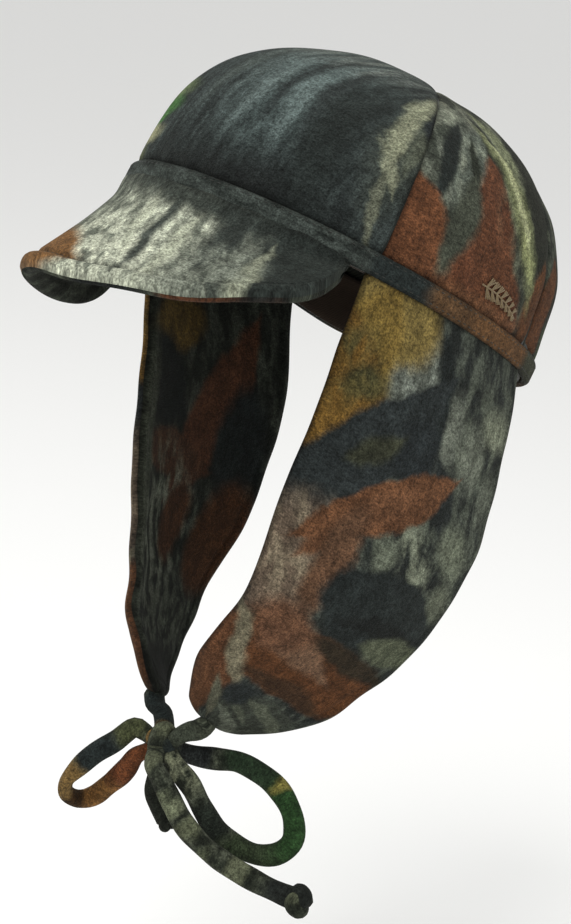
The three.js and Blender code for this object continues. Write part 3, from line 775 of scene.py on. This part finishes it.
wrap = tube("bow_knot_wrap", ring_round(KNOT, (0.9, 0.35, -0.15), 1.6, 6.2, 48), 8.6, 7.0, LEFT_TIE_FLEECE,
            (0.9, 0.35, -0.15), closed=True, start=210)
wrap_two = tube("bow_knot_cross", ring_round(KNOT + (0.5, -0.5, 1.5), (0.35, 0.25, 0.9), 1.2, 5.0, 40), 7.0, 6.0,
                RIGHT_TIE_FLEECE, (0.35, 0.25, 0.9), closed=True, start=20)
LONG_REACH, SHORT_REACH = 4.5, 1.5
long_end, long_way = beyond_end(LONG_TAIL, LONG_REACH)
short_end, short_way = beyond_end(SHORT_TAIL, SHORT_REACH)
long_knot = tube("long_tail_knot", trefoil(long_end, long_way, 1.45, 60), 7.8, 7.2, LEFT_TIE_FLEECE,
                 long_way, closed=True, start=270, around=14)
short_knot = tube("short_tail_knot", trefoil(short_end, short_way, 1.15, 60), 5.0, 4.6, RIGHT_TIE_FLEECE,
                  short_way, closed=True, start=150, around=14)
for piece, node in ((wrap, "bow_knot"), (long_knot, "long_tail_end_knot"), (short_knot, "short_tail_end_knot")):
    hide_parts(node)
for piece in (left_cord, right_cord, wrap, wrap_two, long_knot, short_knot):
    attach(piece, "left_flap")
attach(stub, "right_flap")
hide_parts("left_tie", "bow_left_loop", "long_tail")
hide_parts("bow_right_loop", "short_tail")
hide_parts("right_tie")

# %% [markdown]
# ## The crown
#
# Five panels make the dome: a wide one in front, two at the sides and two at the back. On the
# real hat each is cut flat and sewn edge to edge with the seams inside, so every seam is a soft
# valley and the cloth swells a little between seams. One formula gives the dome, and each panel
# samples it between its two seams. The print's place on the cloth is measured from the panel's
# middle line, so it doesn't crowd together towards the top.

# %% The dome
HALF_WIDTH, HALF_LENGTH, CROWN_HEIGHT = 88.0, 112.0, 101.0
FULLNESS, APEX_SHIFT, BAND_HEIGHT = 2.44, 3.5, 10.0
FRONT_SEAM, REAR_SEAM = 60.0, 118.0
FLEECE, LINING = 2.2, 1.4
LINING_INSET, SWEATBAND_INSET = 2.9, 5.0


def dome(angle, rise, inset=0.0):
    theta, phi = np.radians(angle), np.radians(rise)
    across = np.cos(phi) ** (2 / FULLNESS)
    up = np.sin(phi) ** (2 / FULLNESS)
    x = (HALF_WIDTH - inset) * across * np.sin(theta)
    y = -(HALF_LENGTH - inset) * across * np.cos(theta) + APEX_SHIFT * rise / 90
    return np.stack([x, y, (CROWN_HEIGHT - inset) * up], -1)


def rise_at(height, inset=0.0):
    return math.degrees(math.asin((height / (CROWN_HEIGHT - inset)) ** (FULLNESS / 2)))


def panel_grid(start, end, low, columns, rows, inset):
    share = np.linspace(0, 1, rows)
    rises = rise_at(low, inset) + (89.85 - rise_at(low, inset)) * share ** 0.9
    angle, rise = np.meshgrid(np.linspace(start, end, columns), rises)
    grid = dome(angle, rise, inset)
    radius = 100 * np.cos(np.radians(rise)) ** (2 / FULLNESS)
    climb = np.linalg.norm(np.diff(grid, axis=0), axis=-1).mean(1)
    climbed = np.concatenate([[0], np.cumsum(climb)]) + low
    middle = (start + end) / 2
    flat = np.stack([np.radians(angle - middle) * radius, np.repeat(climbed[:, None], columns, 1)], -1)
    to_seam = np.minimum(angle - start, end - angle) * math.pi / 180 * radius
    return grid, flat, to_seam, rise


def crown_panel(side, start, end, material):
    columns = int((end - start) * 0.9) + 2
    grid, flat, to_seam, rise = panel_grid(start, end, BAND_HEIGHT - 0.6, columns, 84, 0)
    out = grid_normals(grid, grid - (0, 0, 20))
    valley = 1.5 * np.exp(-np.maximum(to_seam, 0) / 2.2)
    height = climb_above_band(grid)
    pucker = 0.45 * np.exp(-height / 7) * np.sin(flat[..., 0] / 3.1 + np.sin(flat[..., 0] / 11))
    roll_in = 1.3 * np.exp(-height / 1.6)
    angle = np.linspace(start, end, columns)[None]
    turned = (angle + 180) % 360 - 180
    nape = 1.6 * np.exp(-((turned - 135) / 34) ** 2) * (1 - smoothstep(8, 24, rise))
    flat_top = (1.0 + 1.2 * np.exp(-((turned - 130) / 50) ** 2)) * smoothstep(38, 64, rise)
    brow = 2.2 * np.exp(-((turned + 45) / 34) ** 2 - ((rise - 34) / 20) ** 2)
    puff = 0.6 * smoothstep(0, 26, to_seam) + brow - flat_top - nape
    lift = swell(grid, 62, 0.8) + swell(grid, 27, 0.2) + puff + pucker - valley - roll_in
    outside = grid + out * lift[..., None]
    inside = grid + out * (lift * 0.5 - FLEECE)[..., None]
    # Painted shade with some grime: darker along the panel's seams and just above the headband.
    seam_grime_and_shade = np.clip(np.exp(-np.maximum(to_seam, 0) / 1.6) + 0.8 * np.exp(-height / 1.8), 0, 1)
    piece = cloth(f"{side}_panel", outside, inside, flat, material, seam=seam_grime_and_shade)
    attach(piece, "crown")
    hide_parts(f"crown_{side}_panel")
    inner, inner_flat, _, _ = panel_grid(start, end, 0.5, columns // 2, 40, LINING_INSET)
    inner_out = grid_normals(inner, inner - (0, 0, 20))
    sag = swell(inner, 40, 0.25)[..., None]
    lining = cloth(f"{side}_lining", inner + inner_out * (sag - 0.2), inner + inner_out * (sag - LINING),
                   inner_flat, KNIT)
    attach(lining, "crown")
    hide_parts(f"lining_{side}_panel")
    return piece


def climb_above_band(grid):
    return np.maximum(grid[..., 2] - BAND_HEIGHT, 0)


PANELS = [
    ("front", -FRONT_SEAM, FRONT_SEAM, FRONT_FLEECE),
    ("left_side", FRONT_SEAM, REAR_SEAM, SIDE_FLEECE),
    ("left_back", REAR_SEAM, 180.0, BACK_FLEECE),
    ("right_back", 180.0, 360 - REAR_SEAM, BACK_FLEECE),
    ("right_side", 360 - REAR_SEAM, 360 - FRONT_SEAM, SIDE_FLEECE),
]
crown_pieces = [crown_panel(*panel) for panel in PANELS]
print("crown:", len(crown_pieces), "panels")

# %% [markdown]
# ## The headband and sweatband
#
# The headband is a 10 mm strip folded over the crown's raw edge and stitched down, so it stands
# a little proud and its edges are round. Inside it, a thin twill sweatband lies against the head.

# %% Bands round the opening
def band_ring(profile, columns, low_high, inset):
    angle = np.linspace(0, 360, columns, endpoint=False)
    rows = []
    for height, proud in profile:
        rise = rise_at(max(height, 0.001), inset)
        ring = dome(angle, np.full(columns, rise), inset)
        out = np.stack([ring[:, 0] / HALF_WIDTH ** 2, ring[:, 1] / HALF_LENGTH ** 2, 0 * angle], -1)
        out /= np.linalg.norm(out, axis=1, keepdims=True)
        ring[:, 2] = height
        rows.append(ring + out * proud)
    grid = np.array(rows)
    turned = (angle + 180) % 360 - 180
    flat_u = np.repeat((turned * math.pi / 180 * 100)[None], len(profile), 0)
    flat_v = np.repeat(np.array([height for height, _ in profile])[:, None], columns, 1)
    share = np.array([1 - min(max(height, 0), BAND_HEIGHT) / BAND_HEIGHT for height, _ in profile])[:, None]
    sag = np.where(turned < 0, smoothstep(108, 138, -turned), smoothstep(150, 180, turned))
    grid[..., 2] -= NAPE_DROP * share * sag[None]
    return grid, np.stack([flat_u, flat_v], -1)


NAPE_DROP = 4.5
BAND_PUFF = 1.1
heights = np.linspace(0, 1, 13)
band_out = [(BAND_HEIGHT * h, BAND_PUFF * math.sqrt(max(0, 1 - (2 * h - 1) ** 4)) + 0.2) for h in heights]
band_in = [(0.4 + (BAND_HEIGHT - 0.8) * h, -FLEECE) for h in heights]
outer_ring, band_flat = band_ring(band_out, 300, None, 0)
inner_ring, _ = band_ring(band_in, 300, None, 0)
outer_ring = outer_ring + (outer_ring * (0.01, 0.008, 0)) * (swell(outer_ring, 18, 0.3)[..., None])
# Painted shade with some grime: darker along the headband's top and bottom edges.
band_seam = np.repeat((np.abs(2 * heights - 1) ** 5)[:, None], outer_ring.shape[1], 1)
headband = cloth("headband_strip", outer_ring, inner_ring, band_flat, BAND_FLEECE, ring=True, seam=band_seam)
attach(headband, "crown")
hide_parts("headband")
sweat_heights = np.linspace(0.3, 21.5, 10)
sweat_out, sweat_flat = band_ring([(h, -0.1) for h in sweat_heights], 180, None, SWEATBAND_INSET)
sweat_in, _ = band_ring([(h, -1.1 - 0.3 * math.sin(h / 3)) for h in sweat_heights], 180, None, SWEATBAND_INSET)
sweatband = cloth("sweatband_strip", sweat_out, sweat_in, sweat_flat, TWILL, ring=True)
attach(sweatband, "crown")
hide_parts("sweatband")

# %% [markdown]
# ## Ear flaps
#
# Each flap is two layers of fleece round a thin padding, sewn inside out and turned, so its edge
# is a soft roll with the seam in the middle of it. The two edges of the flap are smooth curves
# through a few chosen points, and the cloth spans them. Near the headband it takes the round of
# the head, and further down it bulges slightly over the cheek. `loft` gives the half thickness at
# a distance from the edge: a quarter circle that rises to its full height in a few millimetres.

# %% A flap's middle sheet
FLAP_FRONT_ANGLE, FLAP_REAR_ANGLE = 58.5, 120.0
FLAP_FRONT_EDGE = [[60, -36, -55], [51, -24.5, -96], [40.5, -8.5, -142], [24, -2, -175.5], [14.4, 15.4, -198.5]]
FLAP_REAR_EDGE = [[73, 80, -50], [73, 87, -106], [66.5, 75, -146], [51.5, 60, -181], [24.6, 36, -204.5]]
FLAP_BULGE, FLAP_THICK, EDGE_ROUND = 7.0, 7.0, 4.2
FLAP_FLAT = (118.0, 235.0)
ROOT_TUCK = 1.2
TIP_ROUND = 0.045


def opening(angle, height=-0.5):
    theta = np.radians(angle)
    return np.stack([HALF_WIDTH * np.sin(theta), -HALF_LENGTH * np.cos(theta), height + 0 * theta], -1)


def edge_curve(points, share):
    points = np.asarray(points, float)
    ends = np.vstack([2 * points[0] - points[1], points, 2 * points[-1] - points[-2]])
    place = np.clip(share, 0, 1) * (len(points) - 1)
    k = np.minimum(place.astype(int), len(points) - 2)
    t = (place - k)[:, None]
    p0, p1, p2, p3 = ends[k], ends[k + 1], ends[k + 2], ends[k + 3]
    gaps = [np.sqrt(np.linalg.norm(b - a, axis=1))[:, None] for a, b in ((p0, p1), (p1, p2), (p2, p3))]
    g0, g1, g2 = gaps
    m1 = ((p1 - p0) / g0 - (p2 - p0) / (g0 + g1) + (p2 - p1) / g1) * g1
    m2 = ((p2 - p1) / g1 - (p3 - p1) / (g1 + g2) + (p3 - p2) / g2) * g1
    return (p1 * (2 * t ** 3 - 3 * t ** 2 + 1) + m1 * (t ** 3 - 2 * t ** 2 + t)
            + p2 * (-2 * t ** 3 + 3 * t ** 2) + m2 * (t ** 3 - t ** 2))


def flap_sheet(down, across):
    shape = down.shape
    down, across = down.ravel(), across.ravel()
    front = opening(np.array([FLAP_FRONT_ANGLE]))[0]
    rear = opening(np.array([FLAP_REAR_ANGLE]))[0]
    first = edge_curve([front] + FLAP_FRONT_EDGE, down)
    last = edge_curve([rear] + FLAP_REAR_EDGE, down)
    side = across[:, None]
    narrowing = np.clip((down - (1 - TIP_ROUND)) / TIP_ROUND, 0, 1)[:, None]
    side = 0.5 + (side - 0.5) * np.sqrt(1 - 0.93 * narrowing ** 2)
    sheet = first * (1 - side) + last * side
    angle = FLAP_FRONT_ANGLE + (FLAP_REAR_ANGLE - FLAP_FRONT_ANGLE) * across
    sheet += (opening(angle) - (front * (1 - side) + rear * side)) * ((1 - down) ** 1.5)[:, None]
    sheet[:, 0] += FLAP_BULGE * 4 * across * (1 - across) * np.sin(math.pi * down)
    return sheet.reshape(shape + (3,))


def loft(distance, thick, round_off=EDGE_ROUND):
    t = np.clip(distance / round_off, 0, 1)
    return thick / 2 * np.sqrt(np.maximum(1 - (1 - t) ** 2, 0))


# %% Shape the flap's layers
def eased(count, ease=0.35):
    t = np.linspace(0, 1, count)
    return (1 - ease) * t + ease * (1 - np.cos(math.pi * t)) / 2


flap_down, flap_across = np.meshgrid(eased(120), eased(64), indexing="ij")
face = flap_sheet(flap_down, flap_across)
level_out = np.stack([face[..., 0] / HALF_WIDTH ** 2, face[..., 1] / HALF_LENGTH ** 2, 0 * flap_down], -1)
level_out /= np.linalg.norm(level_out, axis=-1, keepdims=True)
flap_out = grid_normals(face, level_out)
near_band = np.clip(1 - flap_down * 4, 0, 1)[..., None]
flap_out = flap_out * (1 - near_band) + level_out * near_band
flap_out /= np.linalg.norm(flap_out, axis=-1, keepdims=True)
wide = np.linalg.norm(face[:, -1] - face[:, 0], axis=-1)[:, None]
tall = 235.0
from_side = np.minimum(flap_across, 1 - flap_across) * wide
from_tip = (1 - flap_down) * tall
from_edge = np.minimum(from_side, from_tip)
FULL_HALF = FLAP_THICK / 2
half = loft(from_side, FLAP_THICK) * np.sqrt(np.clip(from_tip / EDGE_ROUND, 0, 1).clip(0.02) *
                                             (2 - np.clip(from_tip / EDGE_ROUND, 0, 1)))
middle = face - flap_out * (FULL_HALF + 0.2)
stitch_dip = 0.55 * np.exp(-((from_edge - 7.5) / 1.1) ** 2)
# Painted shade with some grime: darker along the flap's edges, in the stitch valley and where it meets the headband.
flap_seam = np.clip(np.exp(-(from_edge / 1.2) ** 2) + 0.5 * stitch_dip, 0, 1)
flap_seam = np.maximum(flap_seam, np.exp(-flap_down * tall / 2.5))
softness = swell(middle, 55, 0.9) + swell(middle, 23, 0.22)
edge_wave = 0.5 * np.sin(flap_down * tall / 9.0 + 2 * np.sin(flap_down * 9)) * np.exp(-from_side / 9)
middle = middle + flap_out * ((softness * smoothstep(0, 0.08, flap_down) + edge_wave)[..., None])
middle[..., 2] += ROOT_TUCK * (1 - flap_down) ** 24
flap_flat = np.stack([flap_across * FLAP_FLAT[0], flap_down * FLAP_FLAT[1]], -1)
skin = 1.5
outer_face = middle + flap_out * (half - stitch_dip * (half > 2))[..., None]
outer_back = middle + flap_out * np.maximum(half - skin, 0.02 * half)[..., None]
lining_face = middle - flap_out * (half - stitch_dip * (half > 2))[..., None]
lining_back = middle - flap_out * np.maximum(half - skin, 0.02 * half)[..., None]
pad_rows = slice(4, -8)
pad_columns = slice(6, -6)
pad_half = np.maximum(half - skin - 0.3, 0.1)[pad_rows, pad_columns, None]
pad_middle = middle[pad_rows, pad_columns]
pad_out = flap_out[pad_rows, pad_columns]
print("flap thickness", round(float(2 * half.max()), 1), "mm")

# %% [markdown]
# The right flap is the left one mirrored.

# %% Make both flaps
FLIP = np.array([-1.0, 1.0, 1.0])


def bend_at_band(piece):
    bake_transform(piece)


for side, sign in (("left", np.ones(3)), ("right", FLIP)):
    layers = [
        (f"{side}_flap_fleece", outer_face, outer_back, flap_flat, FLAP_FLEECE, "outer", "flap_fleece"),
        (f"{side}_flap_inside", lining_face, lining_back, flap_flat, SHADED_LINING_FLEECE, "lining", "lining_fleece"),
        (f"{side}_flap_pad", pad_middle + pad_out * pad_half, pad_middle - pad_out * pad_half,
         flap_flat[pad_rows, pad_columns], PADDING, "padding", "padding"),
    ]
    for name, one, two, flat, material, node, slot in layers:
        seam = None if node == "padding" else flap_seam
        piece = cloth(name, one * sign, two * sign, flat, material, seam=seam)
        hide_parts(f"{side}_flap_{node}")
        bend_at_band(piece)

# %% [markdown]
# ## The visor
#
# The visor is a soft board between two covers. It leaves the headband along the front, and its
# outline is longest in the middle. Its right side has gone soft and hangs lower than its left.
# Each line from headband to rim keeps its own droop, and the sheet runs through those lines.

# %% The visor's sheet
VISOR_HALF_ANGLE, VISOR_DEPTH, VISOR_DROOP = 54.0, 69.0, 50.5
VISOR_LEFT_LIFT, VISOR_RIGHT_SAG = 20.0, 46.0
VISOR_SPREAD_LEFT, VISOR_SPREAD_RIGHT, VISOR_CURL = 0.55, 0.31, -0.15
VISOR_THICK, VISOR_REACH = 6.4, 0.985


def visor_sheet(out, across):
    turn = np.sin(across * math.pi / 2)
    theta = np.radians(VISOR_HALF_ANGLE * turn)
    depth = VISOR_DEPTH * np.sqrt(np.maximum(np.cos(across * math.pi / 2), 1e-6))
    extra = np.where(turn > 0, -VISOR_LEFT_LIFT, VISOR_RIGHT_SAG)
    droop = np.radians(VISOR_DROOP + extra * turn ** 2)
    heading = theta * np.where(turn > 0, VISOR_SPREAD_LEFT, VISOR_SPREAD_RIGHT)
    steps = 20
    level, fall = 0 * out, 0 * out
    for k in range(steps):
        slope = droop * (1 + VISOR_CURL * ((k + 0.5) / steps * out - 0.5))
        level += np.cos(slope) * out / steps
        fall += np.sin(slope) * out / steps
    x = HALF_WIDTH * np.sin(theta) + depth * level * np.sin(heading)
    y = -HALF_LENGTH * np.cos(theta) - depth * level * np.cos(heading)
    return np.stack([x, y, -0.4 - depth * fall], -1), depth


visor_out, visor_across = np.meshgrid(eased(46), np.linspace(-VISOR_REACH, VISOR_REACH, 130), indexing="ij")
visor_face, visor_depth = visor_sheet(visor_out, visor_across)
visor_up = grid_normals(visor_face, np.stack([visor_face[..., 0] * 0.01, visor_face[..., 1] * 0.004,
                                              0 * visor_out + 1], -1))
radial = np.stack([visor_face[..., 0] / HALF_WIDTH ** 2, visor_face[..., 1] / HALF_LENGTH ** 2, 0 * visor_out], -1)
radial /= np.linalg.norm(radial, axis=-1, keepdims=True)
visor_up = np.where((np.einsum("ijk,ijk->ij", visor_up, radial) < 0)[..., None], -visor_up, visor_up)
root_share = np.clip(1 - visor_out * 5, 0, 1)[..., None]
visor_up = visor_up * (1 - root_share) + radial * root_share
visor_up /= np.linalg.norm(visor_up, axis=-1, keepdims=True)
steady = np.abs(visor_across[0]) > 0.9
first_steady, last_steady = np.flatnonzero(~steady)[[0, -1]]
visor_up[:, :first_steady] = visor_up[:, first_steady:first_steady + 1]
visor_up[:, last_steady + 1:] = visor_up[:, last_steady:last_steady + 1]
rim_gap = (1 - visor_out) * visor_depth
end_gap = (VISOR_REACH - np.abs(visor_across)) * 60 + 1.2
edge_gap = np.minimum(rim_gap, end_gap)
visor_half = loft(edge_gap, VISOR_THICK, 3.4)
visor_middle = visor_face - visor_up * (VISOR_THICK / 2 + 0.1)
visor_wave = swell(visor_middle, 48, 0.9) * smoothstep(0.05, 0.4, visor_out)
rim_dip = 1.3 * np.exp(-((rim_gap - 9.5) / 1.4) ** 2)
visor_middle = visor_middle + visor_up * visor_wave[..., None]
visor_middle[..., 2] += ROOT_TUCK * (1 - visor_out) ** 16
visor_middle[..., 2] -= 7.0 * smoothstep(0.25, 1, visor_out) * np.exp(-((visor_across + 0.75) / 0.28) ** 2)
visor_flat = np.stack([np.sin(visor_across * math.pi / 2) * 105, visor_out * visor_depth], -1)
rim_puff = 1.4 * np.exp(-((rim_gap - 4.8) / 2.7) ** 2)
# Painted shade with some grime: darker in the stitch valley by the rim and where the visor meets the headband.
visor_seam = np.clip(0.6 * rim_dip + np.exp(-visor_out * visor_depth / 2.0), 0, 1)
top_face = visor_middle + visor_up * (visor_half - rim_dip + rim_puff)[..., None]
top_back = visor_middle + visor_up * np.maximum(visor_half - 1.4, 0.02 * visor_half)[..., None]
SEWN_HEIGHT, SEWN_PROUD = 2.4, 2.2
sewn = np.clip(1 - visor_out / 0.16, 0, 1) ** 2 * (1 - smoothstep(0.7, 0.95, np.abs(visor_across)))
dips = 1 - 0.55 * np.exp(-visor_out / 0.02)
for face_grid in (top_face, top_back):
    face_grid += radial * (SEWN_PROUD * sewn * dips)[..., None]
    face_grid[..., 2] += SEWN_HEIGHT * sewn
under_face = visor_middle - visor_up * (visor_half - 0.6 * rim_dip)[..., None]
under_back = visor_middle - visor_up * np.maximum(visor_half - 1.4, 0.02 * visor_half)[..., None]
board_rows = slice(2, -9)
board_columns = slice(8, -8)
board_up = visor_up[board_rows, board_columns]
board_mid = visor_middle[board_rows, board_columns]
visor_layers = [
    ("visor_top", top_face, top_back, visor_flat, VISOR_FLEECE, "visor_top_cover", "visor_fleece"),
    ("visor_under", under_face, under_back, visor_flat, SHADED_LINING_FLEECE, "visor_under_cover", "lining_fleece"),
    ("visor_stiffener", board_mid + board_up * 0.6, board_mid - board_up * 0.6,
     visor_flat[board_rows, board_columns], BOARD, "visor_board", "board_plastic"),
]
for name, one, two, flat, material, node, slot in visor_layers:
    piece = cloth(name, one, two, flat, material, seam=None if node == "visor_board" else visor_seam)
    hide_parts(node)
    bend_at_band(piece)

# %% [markdown]
# ## Stitching
#
# Topstitching is a row of short thread dashes that sink slightly into the pile. Each dash is a
# small closed capsule along the row. All dashes of a row are one mesh.

# %% Thread dashes along a row
def stitches(name, row, outward, material, body, length=2.4, gap=1.3, radius=0.24, bend=None):
    row = np.asarray(row, float)
    steps = np.linalg.norm(np.diff(row, axis=0), axis=1)
    along = np.concatenate([[0], np.cumsum(steps)])
    count = int(along[-1] / (length + gap))
    corners = np.linspace(0, 2 * math.pi, 6, endpoint=False)
    profile = [(0.0, 0.35), (0.12, 0.85), (0.5, 1.0), (0.88, 0.85), (1.0, 0.35)]
    points, faces, flat = [], [], []
    for k in range(count):
        begin = (length + gap) * (k + 0.2)
        here = [np.array([np.interp(begin + length * t, along, row[:, a]) for a in range(3)]) for t, _ in profile]
        up = np.array([np.interp(begin + length / 2, along, outward[:, a]) for a in range(3)])
        ahead = here[-1] - here[0]
        ahead /= np.linalg.norm(ahead)
        up = up - ahead * (up @ ahead)
        up /= np.linalg.norm(up)
        side = np.cross(ahead, up)
        base = len(points)
        for centre, (t, swell_share) in zip(here, profile):
            sink = 0.25 * (2 * t - 1) ** 2
            for corner in corners:
                spoke = math.cos(corner) * side + math.sin(corner) * up
                points.append(centre + radius * swell_share * spoke - sink * up)
                flat.append([corner, begin + length * t])
        for ring in range(4):
            for c in range(6):
                a = base + ring * 6 + c
                b = base + ring * 6 + (c + 1) % 6
                faces.append([a, b, b + 6, a + 6])
        faces.append([base + c for c in range(5, -1, -1)])
        faces.append([base + 24 + c for c in range(6)])
    mesh = bpy.data.meshes.new(name)
    mesh.from_pydata(worn(points).tolist(), [], faces)
    layer = mesh.uv_layers.new(name="Print")
    corner_of = np.empty(len(mesh.loops), int)
    mesh.loops.foreach_get("vertex_index", corner_of)
    layer.data.foreach_set("uv", (np.asarray(flat)[corner_of] / 100).astype(np.float32).ravel())
    mesh.polygons.foreach_set("use_smooth", np.ones(len(mesh.polygons), bool))
    mesh.materials.append(material)
    piece = bpy.data.objects.new(name, mesh)
    bpy.context.collection.objects.link(piece)
    if bend:
        bend_at_band(piece)
    else:
        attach(piece, body)
    return piece


def ring_row(grid, k):
    ring = grid[k]
    out = ring * (1, 1, 0)
    return np.vstack([ring, ring[:1]]), np.vstack([out, out[:1]])


for name, k in (("headband_stitches_high", 10), ("headband_stitches_low", 2)):
    row, out = ring_row(outer_ring, k)
    stitches(name, row, out, THREAD, "crown")


def along_rim(grid, gap):
    rows = []
    for k in np.flatnonzero(visor_depth[0] > 2.4 * gap):
        order = rim_gap[::-1, k]
        rows.append([np.interp(gap, order, grid[::-1, k, axis]) for axis in range(3)])
    return np.array(rows)


STITCH_FROM_RIM = 9.5
stitches("visor_stitches", along_rim(top_face, STITCH_FROM_RIM), along_rim(visor_up, STITCH_FROM_RIM), THREAD,
         "visor", bend=24)

# %% [markdown]
# ## A stitched sprig
#
# A small sprig in tan thread marks the left side. It is a stem with paired leaves, each leaf a
# few satin stitches, drawn on the flat cloth and then carried to the dome.

# %% Embroider the sprig
def on_side_panel(u, v):
    rise = np.interp(v, SIDE_CLIMB, SIDE_RISES)
    radius = 100 * np.cos(np.radians(rise)) ** (2 / FULLNESS)
    angle = (FRONT_SEAM + REAR_SEAM) / 2 + np.degrees(u / radius)
    return dome(angle, rise)


probe, probe_flat, _, probe_rise = panel_grid(FRONT_SEAM, REAR_SEAM, BAND_HEIGHT - 0.6, 9, 60, 0)
SIDE_CLIMB, SIDE_RISES = probe_flat[:, 0, 1], probe_rise[:, 0]


def thread_run(flat_points):
    flat_points = np.asarray(flat_points, float)
    fine = np.array([np.interp(np.linspace(0, len(flat_points) - 1, 12), np.arange(len(flat_points)),
                               flat_points[:, a]) for a in range(2)]).T
    run = on_side_panel(fine[:, 0], fine[:, 1])
    out = run - (0, 0, 20)
    out /= np.linalg.norm(out, axis=1, keepdims=True)
    lift = swell(run, 62, 0.75) + swell(run, 27, 0.16) + 0.9
    return worn(run + out * (lift + 0.25)[:, None]) / MM


SPRIG_START, SPRIG_LENGTH, LEAF = (-2.0, 21.0), 26.0, 6.0
runs = [[(SPRIG_START[0] + t * SPRIG_LENGTH, SPRIG_START[1] - 5 * t + 2 * math.sin(3 * t)) for t in (0, .33, .66, 1)]]
for k in range(7):
    t = 0.1 + 0.13 * k
    foot = (SPRIG_START[0] + t * SPRIG_LENGTH, SPRIG_START[1] - 5 * t + 2 * math.sin(3 * t))
    for lean in (1, -1):
        for fan in (0.0, 0.22, 0.44):
            turn = lean * (0.75 + fan)
            reach = LEAF * (1 - 0.5 * t) * (1 - 0.25 * fan)
            runs.append([foot, (foot[0] + reach * math.cos(turn), foot[1] + reach * math.sin(turn))])
sprig_parts = [tube(f"sprig_{k}", thread_run(run), 0.8, 0.5, TAN_THREAD, (0, 0, 1), around=6)
               for k, run in enumerate(runs)]
with bpy.context.temp_override(active_object=sprig_parts[0], selected_editable_objects=sprig_parts):
    bpy.ops.object.join()
sprig = sprig_parts[0]
sprig.name = "stitched_sprig"
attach(sprig, "crown")

# %% [markdown]
# ## The size label
#
# A folded woven label is caught in the back of the sweatband. It carries no words.

# %% The label
label_u, label_v = np.meshgrid(np.linspace(-12, 12, 16), np.linspace(2.5, 16.5, 12))
label_low, label_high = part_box("size_label")
back = dome(180 + np.degrees(label_u / 70), np.vectorize(lambda h: rise_at(h, 6.2))(label_v), 6.2)
back = back + np.array([0, -0.9, 0])
label = cloth("blank_label", back, back - np.array([0, 0.6, 0]), np.stack([label_u, label_v], -1), LABEL)
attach(label, "crown")
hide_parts("size_label")

# %% [markdown]
# ## Floor and light
#
# A plain pale floor lies below the hat, which hangs as if on a head. Large soft lights from the
# front, the left and above give the even studio look that shows the pile and the print.

# %% Floor and lights
low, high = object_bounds()
FLOOR_DROP = 0.10
bpy.ops.mesh.primitive_plane_add(size=60, location=(0, 0, low.z - FLOOR_DROP))
floor = bpy.context.object
floor.name = "floor"
floor_material, floor_tree, floor_shader = new_material("pale_studio_floor", 0.9, 0.0, 0.5, 0.1)
floor_shader.inputs["Base Color"].default_value = linear("#f4f4f2")
floor.data.materials.append(floor_material)


def soft_light(name, azimuth, elevation, distance, size, power, target=(0, -0.02, -0.08)):
    turn, lift = math.radians(azimuth), math.radians(elevation)
    way = Vector((math.sin(turn) * math.cos(lift), -math.cos(turn) * math.cos(lift), math.sin(lift)))
    data = bpy.data.lights.new(name, "AREA")
    data.shape = "DISK"
    data.size = size
    data.energy = power
    light = bpy.data.objects.new(name, data)
    light.location = Vector(target) + distance * way
    light.rotation_euler = way.to_track_quat("Z", "Y").to_euler()
    bpy.context.collection.objects.link(light)
    return light


soft_light("key_light", 15, 55, 1.7, 0.9, 15)
soft_light("side_light", 85, 20, 1.8, 1.2, 6)
soft_light("top_light", -60, 78, 1.8, 1.4, 8)
world = bpy.data.worlds.new("studio")
world.use_nodes = True
world.node_tree.nodes["Background"].inputs["Color"].default_value = (1, 1, 1, 1)
world.node_tree.nodes["Background"].inputs["Strength"].default_value = 0.75
bpy.context.scene.world = world
bpy.context.scene.view_settings.view_transform = "Standard"
